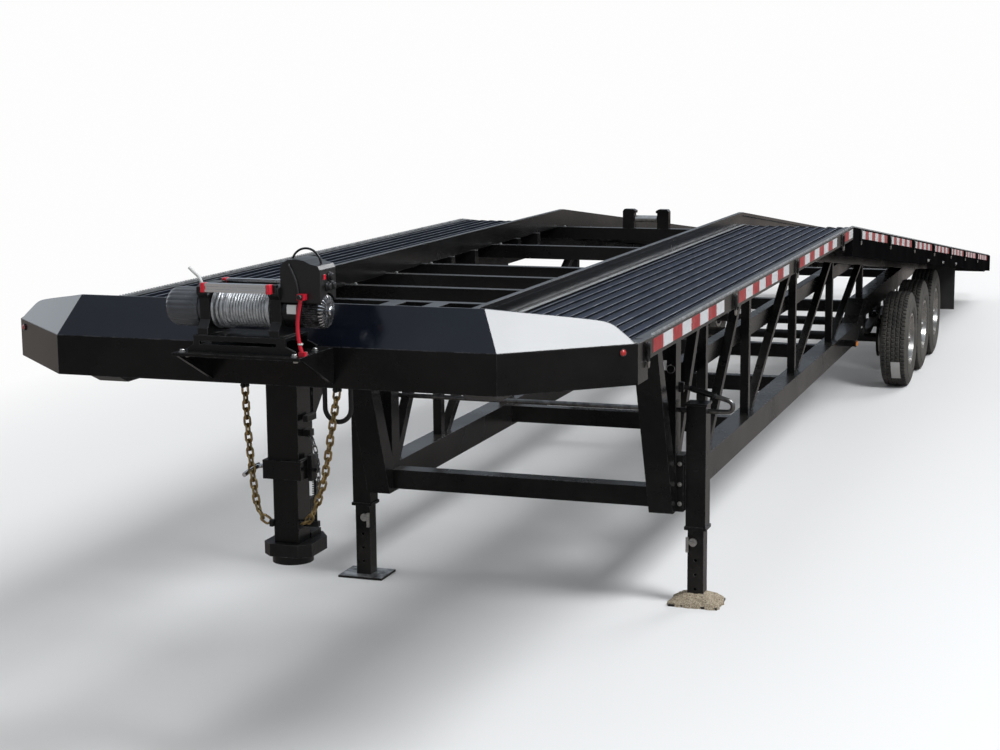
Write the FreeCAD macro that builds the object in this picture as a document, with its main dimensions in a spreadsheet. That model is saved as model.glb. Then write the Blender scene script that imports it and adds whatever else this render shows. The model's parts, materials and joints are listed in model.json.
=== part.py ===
"""Gooseneck wedge car hauler trailer with two runways, a truss frame and three axles, in millimetres.

The sheet's places along the trailer are measured from the face of the front beam, +Y to the rear and
+Z up from the ground. The finished pieces are all moved by one length, so that the origin lies on
the ground below the middle of the trailer. Left is +X.
"""
import FreeCAD, Part
import math
import os
import re
import Sketcher

# Driving dimensions in millimetres, and plain counts
SIZES = {
    "half_width": 1295.5,          # 102 in overall
    "trailer_length": 16150,       # front beam's face to the rear end, 53 ft
    "knee_y": 5486,                # the front deck is 18 ft long
    "deck_height": 1726,           # front deck above the ground
    "rear_height": 513,            # deck at the rear end
    "front_half": 886,             # half the flat front of the beam
    "facet_run": 376,              # how far the slanted ends run back
    "band_depth": 102,
    "band_bottom": 1577,
    "band_top": 1728,
    "fascia_top": 1876,
    "fascia_lean": 75,
    "fascia_half": 816,
    "fascia_wall": 8,
    "fascia_corner": 110,
    "rail_inner": 578,             # inner face of the runway's upstand
    "rail_wall": 25,
    "rail_rise": 81,               # upstand above the deck
    "rail_web": 8,
    "rail_lip": 20,
    "rail_strip": 16,              # bright strip between the upstand and the first rib
    "rail_strip_rise": 4,
    "rear_beam": 102,              # its depth along the trailer
    "rub_width": 51,
    "rub_depth": 76,
    "side_beam_depth": 178,
    "plate": 15,                   # deck plate below its ribs
    "rib_height": 10,
    "rib_width": 14,
    "rib_inset": 14,
    "rib_pitch": 63,
    "rib_count": 10,
    "cross_width": 51,
    "cross_depth": 76,
    "cross_first": 5900,
    "cross_pitch": 600,
    "stub_reach": 15,              # how far a stub's end shows inside the upstand
    "chord_depth": 102,
    "truss_inner": 705,
    "truss_outer": 830,
    "front_post_y": 2840,
    "front_post": 102,
    "brace_top_y": 2415,
    "brace_width": 76,
    "brace_foot": 46,              # how far the brace's foot stands in front of the post
    "brace_heel": 190,             # height of its joint with the post
    "lower_bottom": 500,
    "lower_depth": 152,
    "kick_y": 8950,
    "kick_run": 350,
    "kick_rise": 160,
    "post_width": 51,
    "short_post_y": 3660,
    "first_post_y": 4800,
    "post_pitch": 1533,
    "diagonal_width": 60,
    "mid_beam_bottom": 1087,
    "mid_beam_depth": 100,
    "mid_beam_width": 60,
    "column_y": 166,
    "column_outer": 127,
    "column_wall": 8,
    "column_bottom": 1205,
    "column_inner": 102,
    "coupler_bottom": 874,
    "coupler_height": 79,
    "coupler_half": 98,
    "ball_radius": 30,
    "ball_depth": 50,
    "neck_beam_length": 1398,
    "neck_beam_width": 76,
    "neck_beam_depth": 102,
    "column_gusset": 190,
    "tray_depth": 280,
    "tray_left": 262,
    "tray_right": 238,
    "tray_wall": 12,
    "base_height": 60,             # channel that lifts the winch off its tray
    "winch_y": -140,
    "winch_z": 1878,
    "drum_radius": 58,
    "flange_radius": 74,
    "drum_half": 112,
    "drum_shaft": 16,
    "gear_radius": 71,
    "motor_radius": 63,
    "lever_x": -200,
    "box_left": 312,
    "box_right": 160,
    "arch_bend": 56,
    "lead_bend": 300,
    "lead_radius": 7,
    "lead_x": 232,
    "lead_top": 1925,
    "loop_x": 218,
    "loop_y": 128,
    "loop_bend": 52,
    "loop_drop": 107,
    "loop_radius": 9,
    "roller_pin": 8,
    "jack_x": 918,
    "jack_y": 2960,
    "jack_tube": 102,
    "jack_bottom": 393,
    "jack_top": 1035,
    "leg_tube": 83,
    "foot_length": 254,
    "foot_width": 200,
    "foot_wall": 12,
    "jack_cap": 6,                 # how far the cap and lip stand out
    "jack_plate_low": 499,
    "jack_plate_high": 789,
    "hole_radius": 8,
    "crank_out": 1089,
    "crank_rise": 38,
    "handle_end": 820,
    "handle_rise": 122,
    "shaft_y": 2975,
    "shaft_z": 1000,
    "shaft_radius": 12.5,
    "axle_y": 9920,
    "axle_pitch": 930,
    "wheel_x": 1042,
    "tyre_radius": 403,
    "tyre_half": 117.5,
    "bead_radius": 207,
    "axle_radius": 38,
    "spring_x": 767,
    "spring_width": 64,
    "spring_half": 414,
    "eye_height": 520,
    "spring_eye": 14,
    "cheek": 8,
    "flap_y": 12551,
    "flap_width": 270,
    "flap_bottom": 330,
    "flap_height": 540,
    "lamp_depth": 12,
    "tail_lamp": 54,
    "tail_lamp_z": 420,
    "marker": 12,
    "marker_x": 1250,
    "side_marker_y": 8250,
    "side_marker_rise": 66,        # its plate above the chord's underside
    "side_reach": 96,
    "hook_height": 76,
    "hook_width": 34,
    "hook_bar": 11,
    "hook_depth": 16,
    "hook_drop": 44,               # its middle below the deck
    "hook_first": 490,
    "hook_pitch": 1524,            # 5 ft
    "hook_rear_first": 5775,
    "hook_rear_pitch": 1432,
    "chain_top_left": 236,
    "chain_top_right": -140,
    "chain_top_y": 84,
    "chain_top_z": 1553,
    "chain_foot_y": 112,
    "chain_foot_z": 1034,
    "chain_lug": 16,
    "link_pitch": 30,
    "link_bar": 9.5,
    "link_width": 33,
    "hand_hole": 19,
    "hand_hole_circle": 119,
}
FALL = "((deck_height - rear_height) / (trailer_length - knee_y))"
ORIGIN_Y = "((trailer_length - tray_depth) / 2)"

document = FreeCAD.newDocument("CarHauler")
sheet = document.addObject("Spreadsheet::Sheet", "Sizes")
for row, (alias, number) in enumerate(SIZES.items(), start=1):
    sheet.set(f"A{row}", alias)
    sheet.set(f"B{row}", str(number))
    sheet.setAlias(f"B{row}", alias)
document.recompute()
subparts = []


def bound(formula):
    """Name the sheet in front of each of its sizes in a formula."""
    return re.sub(r"[a-z_]+", lambda word: "Sizes." + word[0] if word[0] in SIZES else word[0], str(formula))


def bind(thing, **formulas):
    """Bind properties of an object; a double underscore stands for a dot."""
    for name, formula in formulas.items():
        thing.setExpression(name.replace("__", "."), bound(formula))


def deck_at(y):
    """Height of the sloping rear deck at the place y."""
    return f"(deck_height - (({y}) - knee_y) * {FALL})"


def subpart(thing, label):
    """Give a finished piece its name and carry it to the trailer's own origin."""
    thing.Label = label
    places = {name.lstrip("."): formula for name, formula in thing.ExpressionEngine}
    own_place = places.get("Placement.Base.y", "0")
    thing.setExpression("Placement.Base.y", f"{own_place} - {bound(ORIGIN_Y)}")
    subparts.append(thing)
    return thing


def outline(body, name, role, points, offset="0"):
    """Closed sketch on one of the body's own planes, every corner bound to the sheet."""
    plane = [part for part in body.Origin.OriginFeatures if part.Role == role][0]
    sketch = body.newObject("Sketcher::SketchObject", name)
    sketch.AttachmentSupport = [(plane, "")]
    sketch.MapMode = "FlatFace"
    bind(sketch, AttachmentOffset__Base__z=offset)
    count = len(points)
    turns = [2 * math.pi * corner / count for corner in range(count)]
    ring = [FreeCAD.Vector(1000 * math.cos(turn), 1000 * math.sin(turn), 0) for turn in turns]
    for corner in range(count):
        sketch.addGeometry(Part.LineSegment(ring[corner], ring[(corner + 1) % count]))
    for corner in range(count):
        sketch.addConstraint(Sketcher.Constraint("Coincident", corner, 2, (corner + 1) % count, 1))
    for corner, (across, up) in enumerate(points):
        start = (ring[corner].x, ring[corner].y)
        for kind, place, formula in (("DistanceX", start[0], across), ("DistanceY", start[1], up)):
            index = sketch.addConstraint(Sketcher.Constraint(kind, -1, 1, corner, 1, place))
            sketch.setExpression(f"Constraints[{index}]", bound(formula))
    return sketch


def padded(name, role, points, start, length):
    """Body made of one outline, padded along its plane's normal from start over length."""
    body = document.addObject("PartDesign::Body", name)
    sketch = outline(body, name + "_outline", role, points, start)
    pad = body.newObject("PartDesign::Pad", name + "_pad")
    pad.Profile = sketch
    bind(pad, Length=length)
    return body


def side_piece(name, points, x_from, width):
    """Piece with an outline seen from the side, (y, z) corners, padded towards +X."""
    return padded(name, "YZ_Plane", points, x_from, width)


def plan_piece(name, points, z_from, height):
    """Piece with an outline seen from above, (x, y) corners, padded upwards."""
    return padded(name, "XY_Plane", points, z_from, height)


def level_run(y_from, y_to, top, depth):
    """Corners of a level beam seen from the side."""
    low = f"({top}) - ({depth})"
    return [(y_from, low), (y_to, low), (y_to, top), (y_from, top)]


def sloping_run(y_from, y_to, below, depth):
    """Corners of a beam that follows the rear deck, its top a set way below the deck."""
    tops = [f"{deck_at(y)} - ({below})" for y in (y_from, y_to)]
    lows = [f"{top} - ({depth})" for top in tops]
    return [(y_from, lows[0]), (y_to, lows[1]), (y_to, tops[1]), (y_from, tops[0])]


def block(name, x, y, z, length, width, height):
    """Box from its low corner and its sizes along X, Y and Z."""
    box = document.addObject("Part::Box", name)
    bind(box, Length=length, Width=width, Height=height)
    bind(box, Placement__Base__x=x, Placement__Base__y=y, Placement__Base__z=z)
    return box


def rod(name, x, y, z, radius, length):
    """Round bar along X from its end at x."""
    bar = document.addObject("Part::Cylinder", name)
    bar.Placement.Rotation = FreeCAD.Rotation(FreeCAD.Vector(0, 1, 0), 90)
    bind(bar, Radius=radius, Height=length)
    bind(bar, Placement__Base__x=x, Placement__Base__y=y, Placement__Base__z=z)
    return bar


def peg(name, x, y, z, radius, length):
    """Round bar along +Y from its end at y."""
    bar = document.addObject("Part::Cylinder", name)
    bar.Placement.Rotation = FreeCAD.Rotation(FreeCAD.Vector(1, 0, 0), -90)
    bind(bar, Radius=radius, Height=length)
    bind(bar, Placement__Base__x=x, Placement__Base__y=y, Placement__Base__z=z)
    return bar


def front_piece(name, points, y_from, depth):
    """Piece with an outline seen from the front, (x, z) corners, padded along Y from y_from."""
    return padded(name, "XZ_Plane", points, f"-({y_from}) - ({depth})", depth)


def cut_corners(across, up, width, height, corner):
    """Corners of a rectangle round a middle point, each of its corners cut off."""
    near, far = f"{across} - {width} / 2", f"{across} + {width} / 2"
    low, high = f"{up} - {height} / 2", f"{up} + {height} / 2"
    return [(f"{near} + {corner}", low), (f"{far} - {corner}", low), (far, f"{low} + {corner}"),
            (far, f"{high} - {corner}"), (f"{far} - {corner}", high), (f"{near} + {corner}", high),
            (near, f"{high} - {corner}"), (near, f"{low} + {corner}")]


def flat_ring(name, role, outer, inner, start, thickness):
    """Flat ring: an outline with a second one cut out of it."""
    body = padded(name, role, outer, start, thickness)
    eye = outline(body, name + "_eye", role, inner, f"{start} + {thickness}")
    pocket = body.newObject("PartDesign::Pocket", name + "_cut")
    pocket.Profile = eye
    bind(pocket, Length=thickness)
    return body


def turned(name, profile, x, y, z):
    """Ring, disc or case revolved about a line along X, its profile given as (across, radius)."""
    body = document.addObject("PartDesign::Body", name)
    sketch = outline(body, name + "_profile", "XZ_Plane", profile)
    turn = body.newObject("PartDesign::Revolution", name + "_turn")
    turn.Profile = sketch
    turn.ReferenceAxis = (sketch, ["H_Axis"])
    turn.Angle = 360
    bind(body, Placement__Base__x=x, Placement__Base__y=y, Placement__Base__z=z)
    return body


def mirrored(source):
    """The same piece on the right-hand side."""
    twin = document.addObject("Part::Mirroring", source.Name + "_right")
    twin.Source = source
    twin.Normal = FreeCAD.Vector(1, 0, 0)
    return twin


def group(label, members):
    """Like pieces that stand apart, in one sub-part."""
    compound = document.addObject("Part::Compound", label)
    compound.Links = members
    return subpart(compound, label)


def both_sides(label, members):
    """Left-hand pieces and their mirror images, in one sub-part."""
    return group(label, members + [mirrored(member) for member in members])


def fused(name, members):
    """Pieces welded into one solid."""
    fusion = document.addObject("Part::MultiFuse", name)
    fusion.Shapes = members
    return fusion


def carved(name, base, tool):
    """Base with the tool's shape taken out."""
    cut = document.addObject("Part::Cut", name)
    cut.Base = base
    cut.Tool = tool
    return cut


# Front beam: a bent box of one depth, with its two slanted ends
FACET_LENGTH = "sqrt((half_width - front_half) ^ 2 + facet_run ^ 2)"
CORNER_CUT = f"({FACET_LENGTH} - (half_width - front_half)) / facet_run"
INNER_HALF = f"(front_half - band_depth * {CORNER_CUT})"
END_DEPTH = f"(band_depth * {FACET_LENGTH} / (half_width - front_half))"
band = plan_piece("front_band", [
    ("-front_half", "0"), ("front_half", "0"), ("half_width", "facet_run"),
    ("half_width", f"facet_run + {END_DEPTH}"), (INNER_HALF, "band_depth"), (f"-{INNER_HALF}", "band_depth"),
    ("-half_width", f"facet_run + {END_DEPTH}"), ("-half_width", "facet_run"),
], "band_bottom", "band_top - band_bottom")
subpart(band, "front_band")

# Fascia: a thin plate over the beam that leans back, lofted between two outlines of the same wall
fascia = document.addObject("PartDesign::Body", "fascia_blank")


def fascia_ring(half, setback, spread):
    """Plan of the plate at one height: outer corners, then the same corners a wall's thickness back."""
    end_x = f"{half} + (half_width - front_half) * {spread}"
    end_y = f"{setback} + facet_run * {spread}"
    outer = [(f"-({end_x})", end_y), (f"-({half})", setback), (half, setback), (end_x, end_y)]
    inner = [(x, f"{y} + fascia_wall") for x, y in reversed(outer)]
    return outer + inner


low_ring = outline(fascia, "fascia_low", "XY_Plane", fascia_ring("front_half", "0", "1"), "band_top")
high_ring = outline(fascia, "fascia_high", "XY_Plane",
                    fascia_ring("fascia_half", "fascia_lean", "1"), "fascia_top")
loft = fascia.newObject("PartDesign::AdditiveLoft", "fascia_loft")
loft.Profile = low_ring
loft.Sections = [high_ring]
loft.Ruled = True
END_RUN = "(front_half - fascia_half)"
END_RISE = "(fascia_top - band_top)"
END_SLANT = f"sqrt({END_RUN} ^ 2 + {END_RISE} ^ 2)"
CORNER_Z = "(fascia_top - fascia_corner)"
CORNER_IN = f"((fascia_corner * {END_SLANT} + ({CORNER_Z} - band_top) * {END_RUN}) / {END_RISE})"
CORNER_X = f"(half_width - {CORNER_IN})"
WASTE_LOW = f"{CORNER_Z} + fascia_corner * {END_RUN} / {END_SLANT}"
waste = block("corner_waste", CORNER_X, "fascia_lean", WASTE_LOW, "half_width", "half_width", "fascia_top")
rounding = document.addObject("Part::Cylinder", "corner_round")
rounding.Placement.Rotation = FreeCAD.Rotation(FreeCAD.Vector(1, 0, 0), -90)
bind(rounding, Radius="fascia_corner", Height="2 * half_width")
bind(rounding, Placement__Base__x=CORNER_X, Placement__Base__z=CORNER_Z)
corner_tool = carved("corner_tool", waste, rounding)
rounded = carved("fascia_left_done", fascia, corner_tool)
subpart(carved("fascia_plate", rounded, mirrored(corner_tool)), "fascia")

# Runway upstands: channels open to the deck, each a web with a lip at its head and a strip at its foot
FRONT_START = "(band_depth + 8)"
REAR_STOP = "(trailer_length - rear_beam)"
RAIL_LAYERS = (
    # name, x from, width, top above the deck, depth
    ("web", "rail_inner", "rail_web", "rail_rise", "rail_rise + plate + rib_height"),
    ("lip", "rail_inner + rail_web", "rail_wall - rail_web", "rail_rise", "rail_lip"),
    ("strip", "rail_inner + rail_web", "rail_wall + rail_strip - rail_web", "rail_strip_rise",
     "rail_strip_rise + rib_height + plate"),
)
level_layers, sloping_layers = [], []
for name, x_from, width, above, depth in RAIL_LAYERS:
    level = level_run(FRONT_START, "knee_y", f"deck_height + {above}", depth)
    sloping = sloping_run("knee_y", REAR_STOP, f"-({above})", depth)
    level_layers.append(side_piece(f"rail_{name}_front", level, x_from, width))
    sloping_layers.append(side_piece(f"rail_{name}_rear", sloping, x_from, width))
both_sides("inner_rails_front", [fused("rail_front", level_layers)])
both_sides("inner_rails_rear", [fused("rail_rear", sloping_layers)])

# Rub rails along the outer edges, the rear one as deep as the side beam
RUB_X = "half_width - rub_width"
RUB_START = f"(facet_run + {END_DEPTH} + 2)"
rail = side_piece("rub_front", level_run(RUB_START, "knee_y", "deck_height", "rub_depth"), RUB_X, "rub_width")
both_sides("outer_rails_front", [rail])
rail = side_piece("rub_rear", sloping_run("knee_y", "trailer_length", "0", "side_beam_depth"),
                  RUB_X, "rub_width")
both_sides("outer_rails_rear", [rail])

# Deck: a plate with upright ribs along the runway, its front corner cut to the slanted beam
DECK_X = "(rail_inner + rail_wall + rail_strip)"
DECK_WIDTH = f"({RUB_X} - {DECK_X})"


def ribbed_deck(name, plate_points, rib_points):
    """Plate with a row of ribs, the ribs repeated across the runway."""
    body = side_piece(name, plate_points, DECK_X, DECK_WIDTH)
    rib = outline(body, name + "_rib_outline", "YZ_Plane", rib_points, f"{DECK_X} + rib_inset")
    rib_pad = body.newObject("PartDesign::Pad", name + "_rib")
    rib_pad.Profile = rib
    bind(rib_pad, Length="rib_width")
    row_of_ribs = body.newObject("PartDesign::LinearPattern", name + "_ribs")
    row_of_ribs.Originals = [rib_pad]
    across = [part for part in body.Origin.OriginFeatures if part.Role == "X_Axis"][0]
    row_of_ribs.Direction = (across, [""])
    bind(row_of_ribs, Length="rib_pitch * (rib_count - 1)", Occurrences="rib_count")
    body.Tip = row_of_ribs
    return body


deck = ribbed_deck("deck_front_left",
                   level_run(FRONT_START, "knee_y", "deck_height - rib_height", "plate"),
                   level_run(FRONT_START, "knee_y", "deck_height", "rib_height + 1"))
corner = outline(deck, "deck_corner", "XY_Plane", [
    (INNER_HALF, "0"), ("half_width + 100", "0"), ("half_width + 100", f"facet_run + {END_DEPTH} + 2 + 92"),
    (INNER_HALF, f"{FRONT_START}"),
], "deck_height + 100")
corner_cut = deck.newObject("PartDesign::Pocket", "deck_corner_cut")
corner_cut.Profile = corner
bind(corner_cut, Length="200")
both_sides("deck_front", [deck])
deck = ribbed_deck("deck_rear_left",
                   sloping_run("knee_y", REAR_STOP, "rib_height", "plate"),
                   sloping_run("knee_y", REAR_STOP, "0", "rib_height + 1"))
both_sides("deck_rear", [deck])

# Crossmembers below the deck plate; the short ones carry one runway only
CROSS_TOP = "(deck_height - rib_height - plate)"
CROSS_BELOW = "(rib_height + plate)"
STUB_X = "(rail_inner - stub_reach)"
FRONT_PLACES = (
    # place along the trailer, whether it runs from side to side
    (1060, False), (1500, True), (2020, True), (2530, True), (3010, True), (3390, False), (3760, False),
    (4120, True), (4520, False), (4900, False), (5380, True),
)
crossmembers = []
for y, whole in FRONT_PLACES:
    if whole:
        crossmembers.append(block(f"cross_{y}", f"-({RUB_X})", f"{y}", f"{CROSS_TOP} - cross_depth",
                                  f"2 * ({RUB_X})", "cross_width", "cross_depth"))
    else:
        stub = block(f"stub_{y}", STUB_X, f"{y}", f"{CROSS_TOP} - cross_depth",
                     f"{RUB_X} - {STUB_X}", "cross_width", "cross_depth")
        crossmembers += [stub, mirrored(stub)]
group("crossmembers_front", crossmembers)
crossmembers = []
for number in range(17):
    y = f"(cross_first + {number} * cross_pitch)"
    points = sloping_run(y, f"{y} + cross_width", CROSS_BELOW, "cross_depth")
    if number % 2 == 0:
        crossmembers.append(side_piece(f"cross_rear_{number}", points, f"-({RUB_X})", f"2 * ({RUB_X})"))
    else:
        stub = side_piece(f"stub_rear_{number}", points, STUB_X, f"{RUB_X} - {STUB_X}")
        crossmembers += [stub, mirrored(stub)]
group("crossmembers_rear", crossmembers)

# Truss: upper chords under the crossmembers, lower chords, and what joins them
TRUSS_WIDTH = "truss_outer - truss_inner"
CHORD_TOP = f"({CROSS_TOP} - cross_depth)"
CHORD_BELOW = f"({CROSS_BELOW} + cross_depth)"
CHORD_BOTTOM = f"({CHORD_TOP} - chord_depth)"
front_chord = side_piece("upper_chord_front", [
    (f"{FRONT_START} + 90", f"{CHORD_BOTTOM}"), ("knee_y", CHORD_BOTTOM), ("knee_y", CHORD_TOP),
    (FRONT_START, CHORD_TOP), (FRONT_START, f"{CHORD_BOTTOM} + 40"),
], "truss_inner", TRUSS_WIDTH)
both_sides("top_chords_front", [front_chord])
rear_chord = side_piece("upper_chord_rear", sloping_run("knee_y", REAR_STOP, CHORD_BELOW, "chord_depth"),
                        "truss_inner", TRUSS_WIDTH)
both_sides("top_chords_rear", [rear_chord])

LOWER_TOP = "(lower_bottom + lower_depth)"
FRONT_POST_BACK = "(front_post_y + front_post)"
lower = side_piece("lower_chord", level_run(FRONT_POST_BACK, "kick_y", LOWER_TOP, "lower_depth"),
                   "truss_inner", TRUSS_WIDTH)
SIDE_MARKER_LOW = "(lower_bottom + side_marker_rise)"
bracket = block("marker_bracket", "truss_outer", "side_marker_y - 3", SIDE_MARKER_LOW,
                "side_reach", "6", "50")
side_base = block("side_base", "truss_outer + side_reach - 6", "side_marker_y - 40", SIDE_MARKER_LOW,
                  "6", "80", "50")
both_sides("bottom_chords", [fused("lower_chord_with_bracket", [lower, bracket, side_base])])


def underside_y(height):
    """Place where the rear upper chord's underside comes down to a height."""
    return f"(knee_y + (deck_height - {CHORD_BELOW} - chord_depth - ({height})) / {FALL})"


RAISED = "(lower_bottom + kick_rise)"
suspension_rail = side_piece("suspension_rail", [
    ("kick_y", "lower_bottom"), ("kick_y + kick_run", RAISED), (underside_y(RAISED), RAISED),
    (underside_y(f"{RAISED} + lower_depth"), f"{RAISED} + lower_depth"),
    ("kick_y + kick_run", f"{RAISED} + lower_depth"), ("kick_y", LOWER_TOP),
], "truss_inner", TRUSS_WIDTH)
both_sides("suspension_rails", [suspension_rail])

POST_X = "((truss_inner + truss_outer - post_width) / 2)"
POSTS = (
    # name, place
    ("first", "short_post_y"),
    ("a", "first_post_y"),
    ("b", "first_post_y + post_pitch"),
    ("c", "first_post_y + 2 * post_pitch"),
    ("d", "first_post_y + 3 * post_pitch"),
)


def chord_underside(y):
    """Height of the upper chord's underside at a place behind the knee."""
    return f"{deck_at(y)} - {CHORD_BELOW} - chord_depth"


posts = []
for name, y in POSTS:
    foot = f"{RAISED} + lower_depth" if name == "d" else LOWER_TOP
    level = name in ("first", "a")
    near = CHORD_BOTTOM if level else chord_underside(y)
    far = CHORD_BOTTOM if level else chord_underside(f"{y} + post_width")
    posts.append(side_piece(f"post_{name}", [
        (y, foot), (f"{y} + post_width", foot), (f"{y} + post_width", far), (y, near),
    ], POST_X, "post_width"))
both_sides("truss_posts", posts)

# Diagonals rise to the rear, from behind one post to the head of the next
DIAGONALS = (
    # name, foot's place, head's place, whether its head meets the level chord
    ("a", "2985", "3570", True),
    ("b", "3740", "4710", True),
    ("c", "4880", "6240", False),
    ("d", "6420", "7760", False),
    ("e", "7960", "9300", False),
)
SLANT = "(diagonal_width * 1.05)"
diagonals = []
for name, foot_y, head_y, level in DIAGONALS:
    near = CHORD_BOTTOM if level else chord_underside(head_y)
    far = CHORD_BOTTOM if level else chord_underside(f"{head_y} + {SLANT}")
    diagonals.append(side_piece(f"diagonal_{name}", [
        (foot_y, LOWER_TOP), (f"{foot_y} + {SLANT}", LOWER_TOP), (f"{head_y} + {SLANT}", far), (head_y, near),
    ], POST_X, "post_width"))
both_sides("truss_diagonals", diagonals)

# Level beams inside the truss, cut where they meet the sloping chord
mid_top = "(mid_beam_bottom + mid_beam_depth)"
mid_beam = side_piece("mid_beam", [
    (FRONT_POST_BACK, "mid_beam_bottom"), (underside_y("mid_beam_bottom"), "mid_beam_bottom"),
    (underside_y(mid_top), mid_top), (FRONT_POST_BACK, mid_top),
], f"{POST_X} - mid_beam_width", "mid_beam_width")
both_sides("mid_beams", [mid_beam])

# Front frame: posts with raked braces that meet at their feet, and the tube between them
front_post = block("front_post_left", "truss_inner", "front_post_y", "lower_bottom", TRUSS_WIDTH,
                   "front_post", f"{CHORD_BOTTOM} - lower_bottom")
brace = side_piece("raked_brace", [
    ("front_post_y", "lower_bottom"), ("front_post_y", "lower_bottom + brace_heel"),
    ("brace_top_y + brace_width", CHORD_BOTTOM), ("brace_top_y", CHORD_BOTTOM),
    ("front_post_y - brace_foot", "lower_bottom"),
], "truss_inner", TRUSS_WIDTH)
handle_rest = block("handle_rest", "truss_outer - 15", FRONT_POST_BACK, "shaft_z + handle_rise - 25", "30",
                    f"shaft_y - shaft_radius - {FRONT_POST_BACK}", "50")
right_leg = mirrored(fused("front_leg", [front_post, brace]))
group("front_posts", [fused("front_leg_with_rest", [front_post, brace, handle_rest]), right_leg])

CROSS_TUBES = (
    # name, place, underside, width, height
    ("front", "front_post_y", "lower_bottom + 20", "front_post", "front_post"),
    ("a", "first_post_y", "lower_bottom + 20", "cross_depth", "chord_depth"),
    ("b", "first_post_y + post_pitch", "lower_bottom + 20", "cross_depth", "chord_depth"),
    ("c", "first_post_y + 2 * post_pitch", "lower_bottom + 20", "cross_depth", "chord_depth"),
    ("rear", "9460", f"{RAISED} + 30", "cross_depth", "cross_depth"),
    ("last", "12150", f"{RAISED} + 10", "cross_depth", "cross_depth"),
)
group("lower_cross_tubes", [block(f"tube_{name}", "-truss_inner", y, z, "2 * truss_inner", width, height)
                            for name, y, z, width, height in CROSS_TUBES])

# Gooseneck: beams back to the first crossmember, square column, sliding inner tube and coupler
COLUMN_X = "(column_outer / 2)"
NECK_LOW = f"({CROSS_TOP} - neck_beam_depth)"
neck_beam = block("neck_beam", COLUMN_X, "band_depth", NECK_LOW, "neck_beam_width", "neck_beam_length",
                  "neck_beam_depth")
both_sides("neck_beams", [neck_beam])


def square_tube(name, side, wall, bottom, height):
    """Upright square tube on the column's axis."""
    half = f"({side}) / 2"
    outer = block(name + "_outer", f"-{half}", f"column_y - {half}", bottom, side, side, height)
    hole = block(name + "_hole", f"-{half} + {wall}", f"column_y - {half} + {wall}", f"{bottom} - 1",
                 f"{side} - 2 * {wall}", f"{side} - 2 * {wall}", f"{height} + 2")
    return carved(name, outer, hole)


column = square_tube("column_tube", "column_outer", "column_wall", "column_bottom",
                     f"{CROSS_TOP} - column_bottom")
collar = square_tube("column_collar", "column_outer + 30", "15", "column_bottom - 2", "72")
gusset = side_piece("column_gusset", [
    ("column_y + column_outer / 2", NECK_LOW), ("column_y + column_outer / 2", f"{NECK_LOW} - column_gusset"),
    ("column_y + column_outer / 2 + column_gusset", NECK_LOW),
], "column_outer / 2 - 6", "12")
subpart(fused("column_welded", [column, collar, gusset, mirrored(gusset)]), "neck_column")
inner_tube = block("neck_inner_tube", "-column_inner / 2", "column_y - column_inner / 2",
                   "coupler_bottom + coupler_height", "column_inner", "column_inner", "640")
subpart(inner_tube, "neck_inner_tube")

coupler_plate = plan_piece("coupler_plate", [
    ("-coupler_half + 40", "column_y - 80"), ("coupler_half - 40", "column_y - 80"),
    ("coupler_half", "column_y - 42"), ("coupler_half", "column_y + 96"),
    ("coupler_half - 46", "column_y + 160"), ("-coupler_half + 46", "column_y + 160"),
    ("-coupler_half", "column_y + 96"), ("-coupler_half", "column_y - 42"),
], "coupler_bottom + 30", "coupler_height - 30")
skirt = document.addObject("Part::Cylinder", "coupler_skirt")
bind(skirt, Radius="coupler_half - 20", Height="coupler_height")
bind(skirt, Placement__Base__y="column_y", Placement__Base__z="coupler_bottom")
coupler_body = fused("coupler_body", [coupler_plate, skirt])
socket = document.addObject("Part::Cylinder", "ball_socket")
bind(socket, Radius="ball_radius", Height="ball_depth + 1")
bind(socket, Placement__Base__y="column_y", Placement__Base__z="coupler_bottom - 1")
subpart(carved("coupler", coupler_body, socket), "coupler")

# Coupler's latch behind the inner tube, and the pins that hold the tube in its collar
TUBE_BACK = "(column_y + column_inner / 2)"
COUPLER_TOP = "(coupler_bottom + coupler_height)"
COLLAR_SIDE = "(column_outer / 2 + 15)"
latch_pieces = []
for name, x, y, z, length, width, height in (
    # name, low corner along X, Y and Z, length along X, width along Y, height
    ("latch_box", "-40", TUBE_BACK, f"{COUPLER_TOP} + 34", "80", "72", "112"),
    ("latch_lever", "-30", TUBE_BACK, COUPLER_TOP, "84", "88", "20"),
    ("latch_block", "-20", TUBE_BACK, f"{COUPLER_TOP} + 20", "40", "40", "14"),
    ("plunger_case", COLLAR_SIDE, "column_y - 20", "column_bottom - 14", "18", "40", "98"),
    ("plunger_pull", f"{COLLAR_SIDE} + 18", "column_y - 7", "column_bottom + 20", "22", "14", "14"),
):
    latch_pieces.append(block(name, x, y, z, length, width, height))
set_pin = rod("set_pin", f"-{COLLAR_SIDE} - 62", "column_y - 30", "column_bottom + 34", "7", "62")
pin_bar = peg("set_pin_bar", f"-{COLLAR_SIDE} - 56", "column_y - 62", "column_bottom + 34", "6", "64")
group("coupler_latch", [fused("latch_welded", latch_pieces[:3]), fused("plunger", latch_pieces[3:]),
                        fused("set_pin_welded", [set_pin, pin_bar])])

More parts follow.
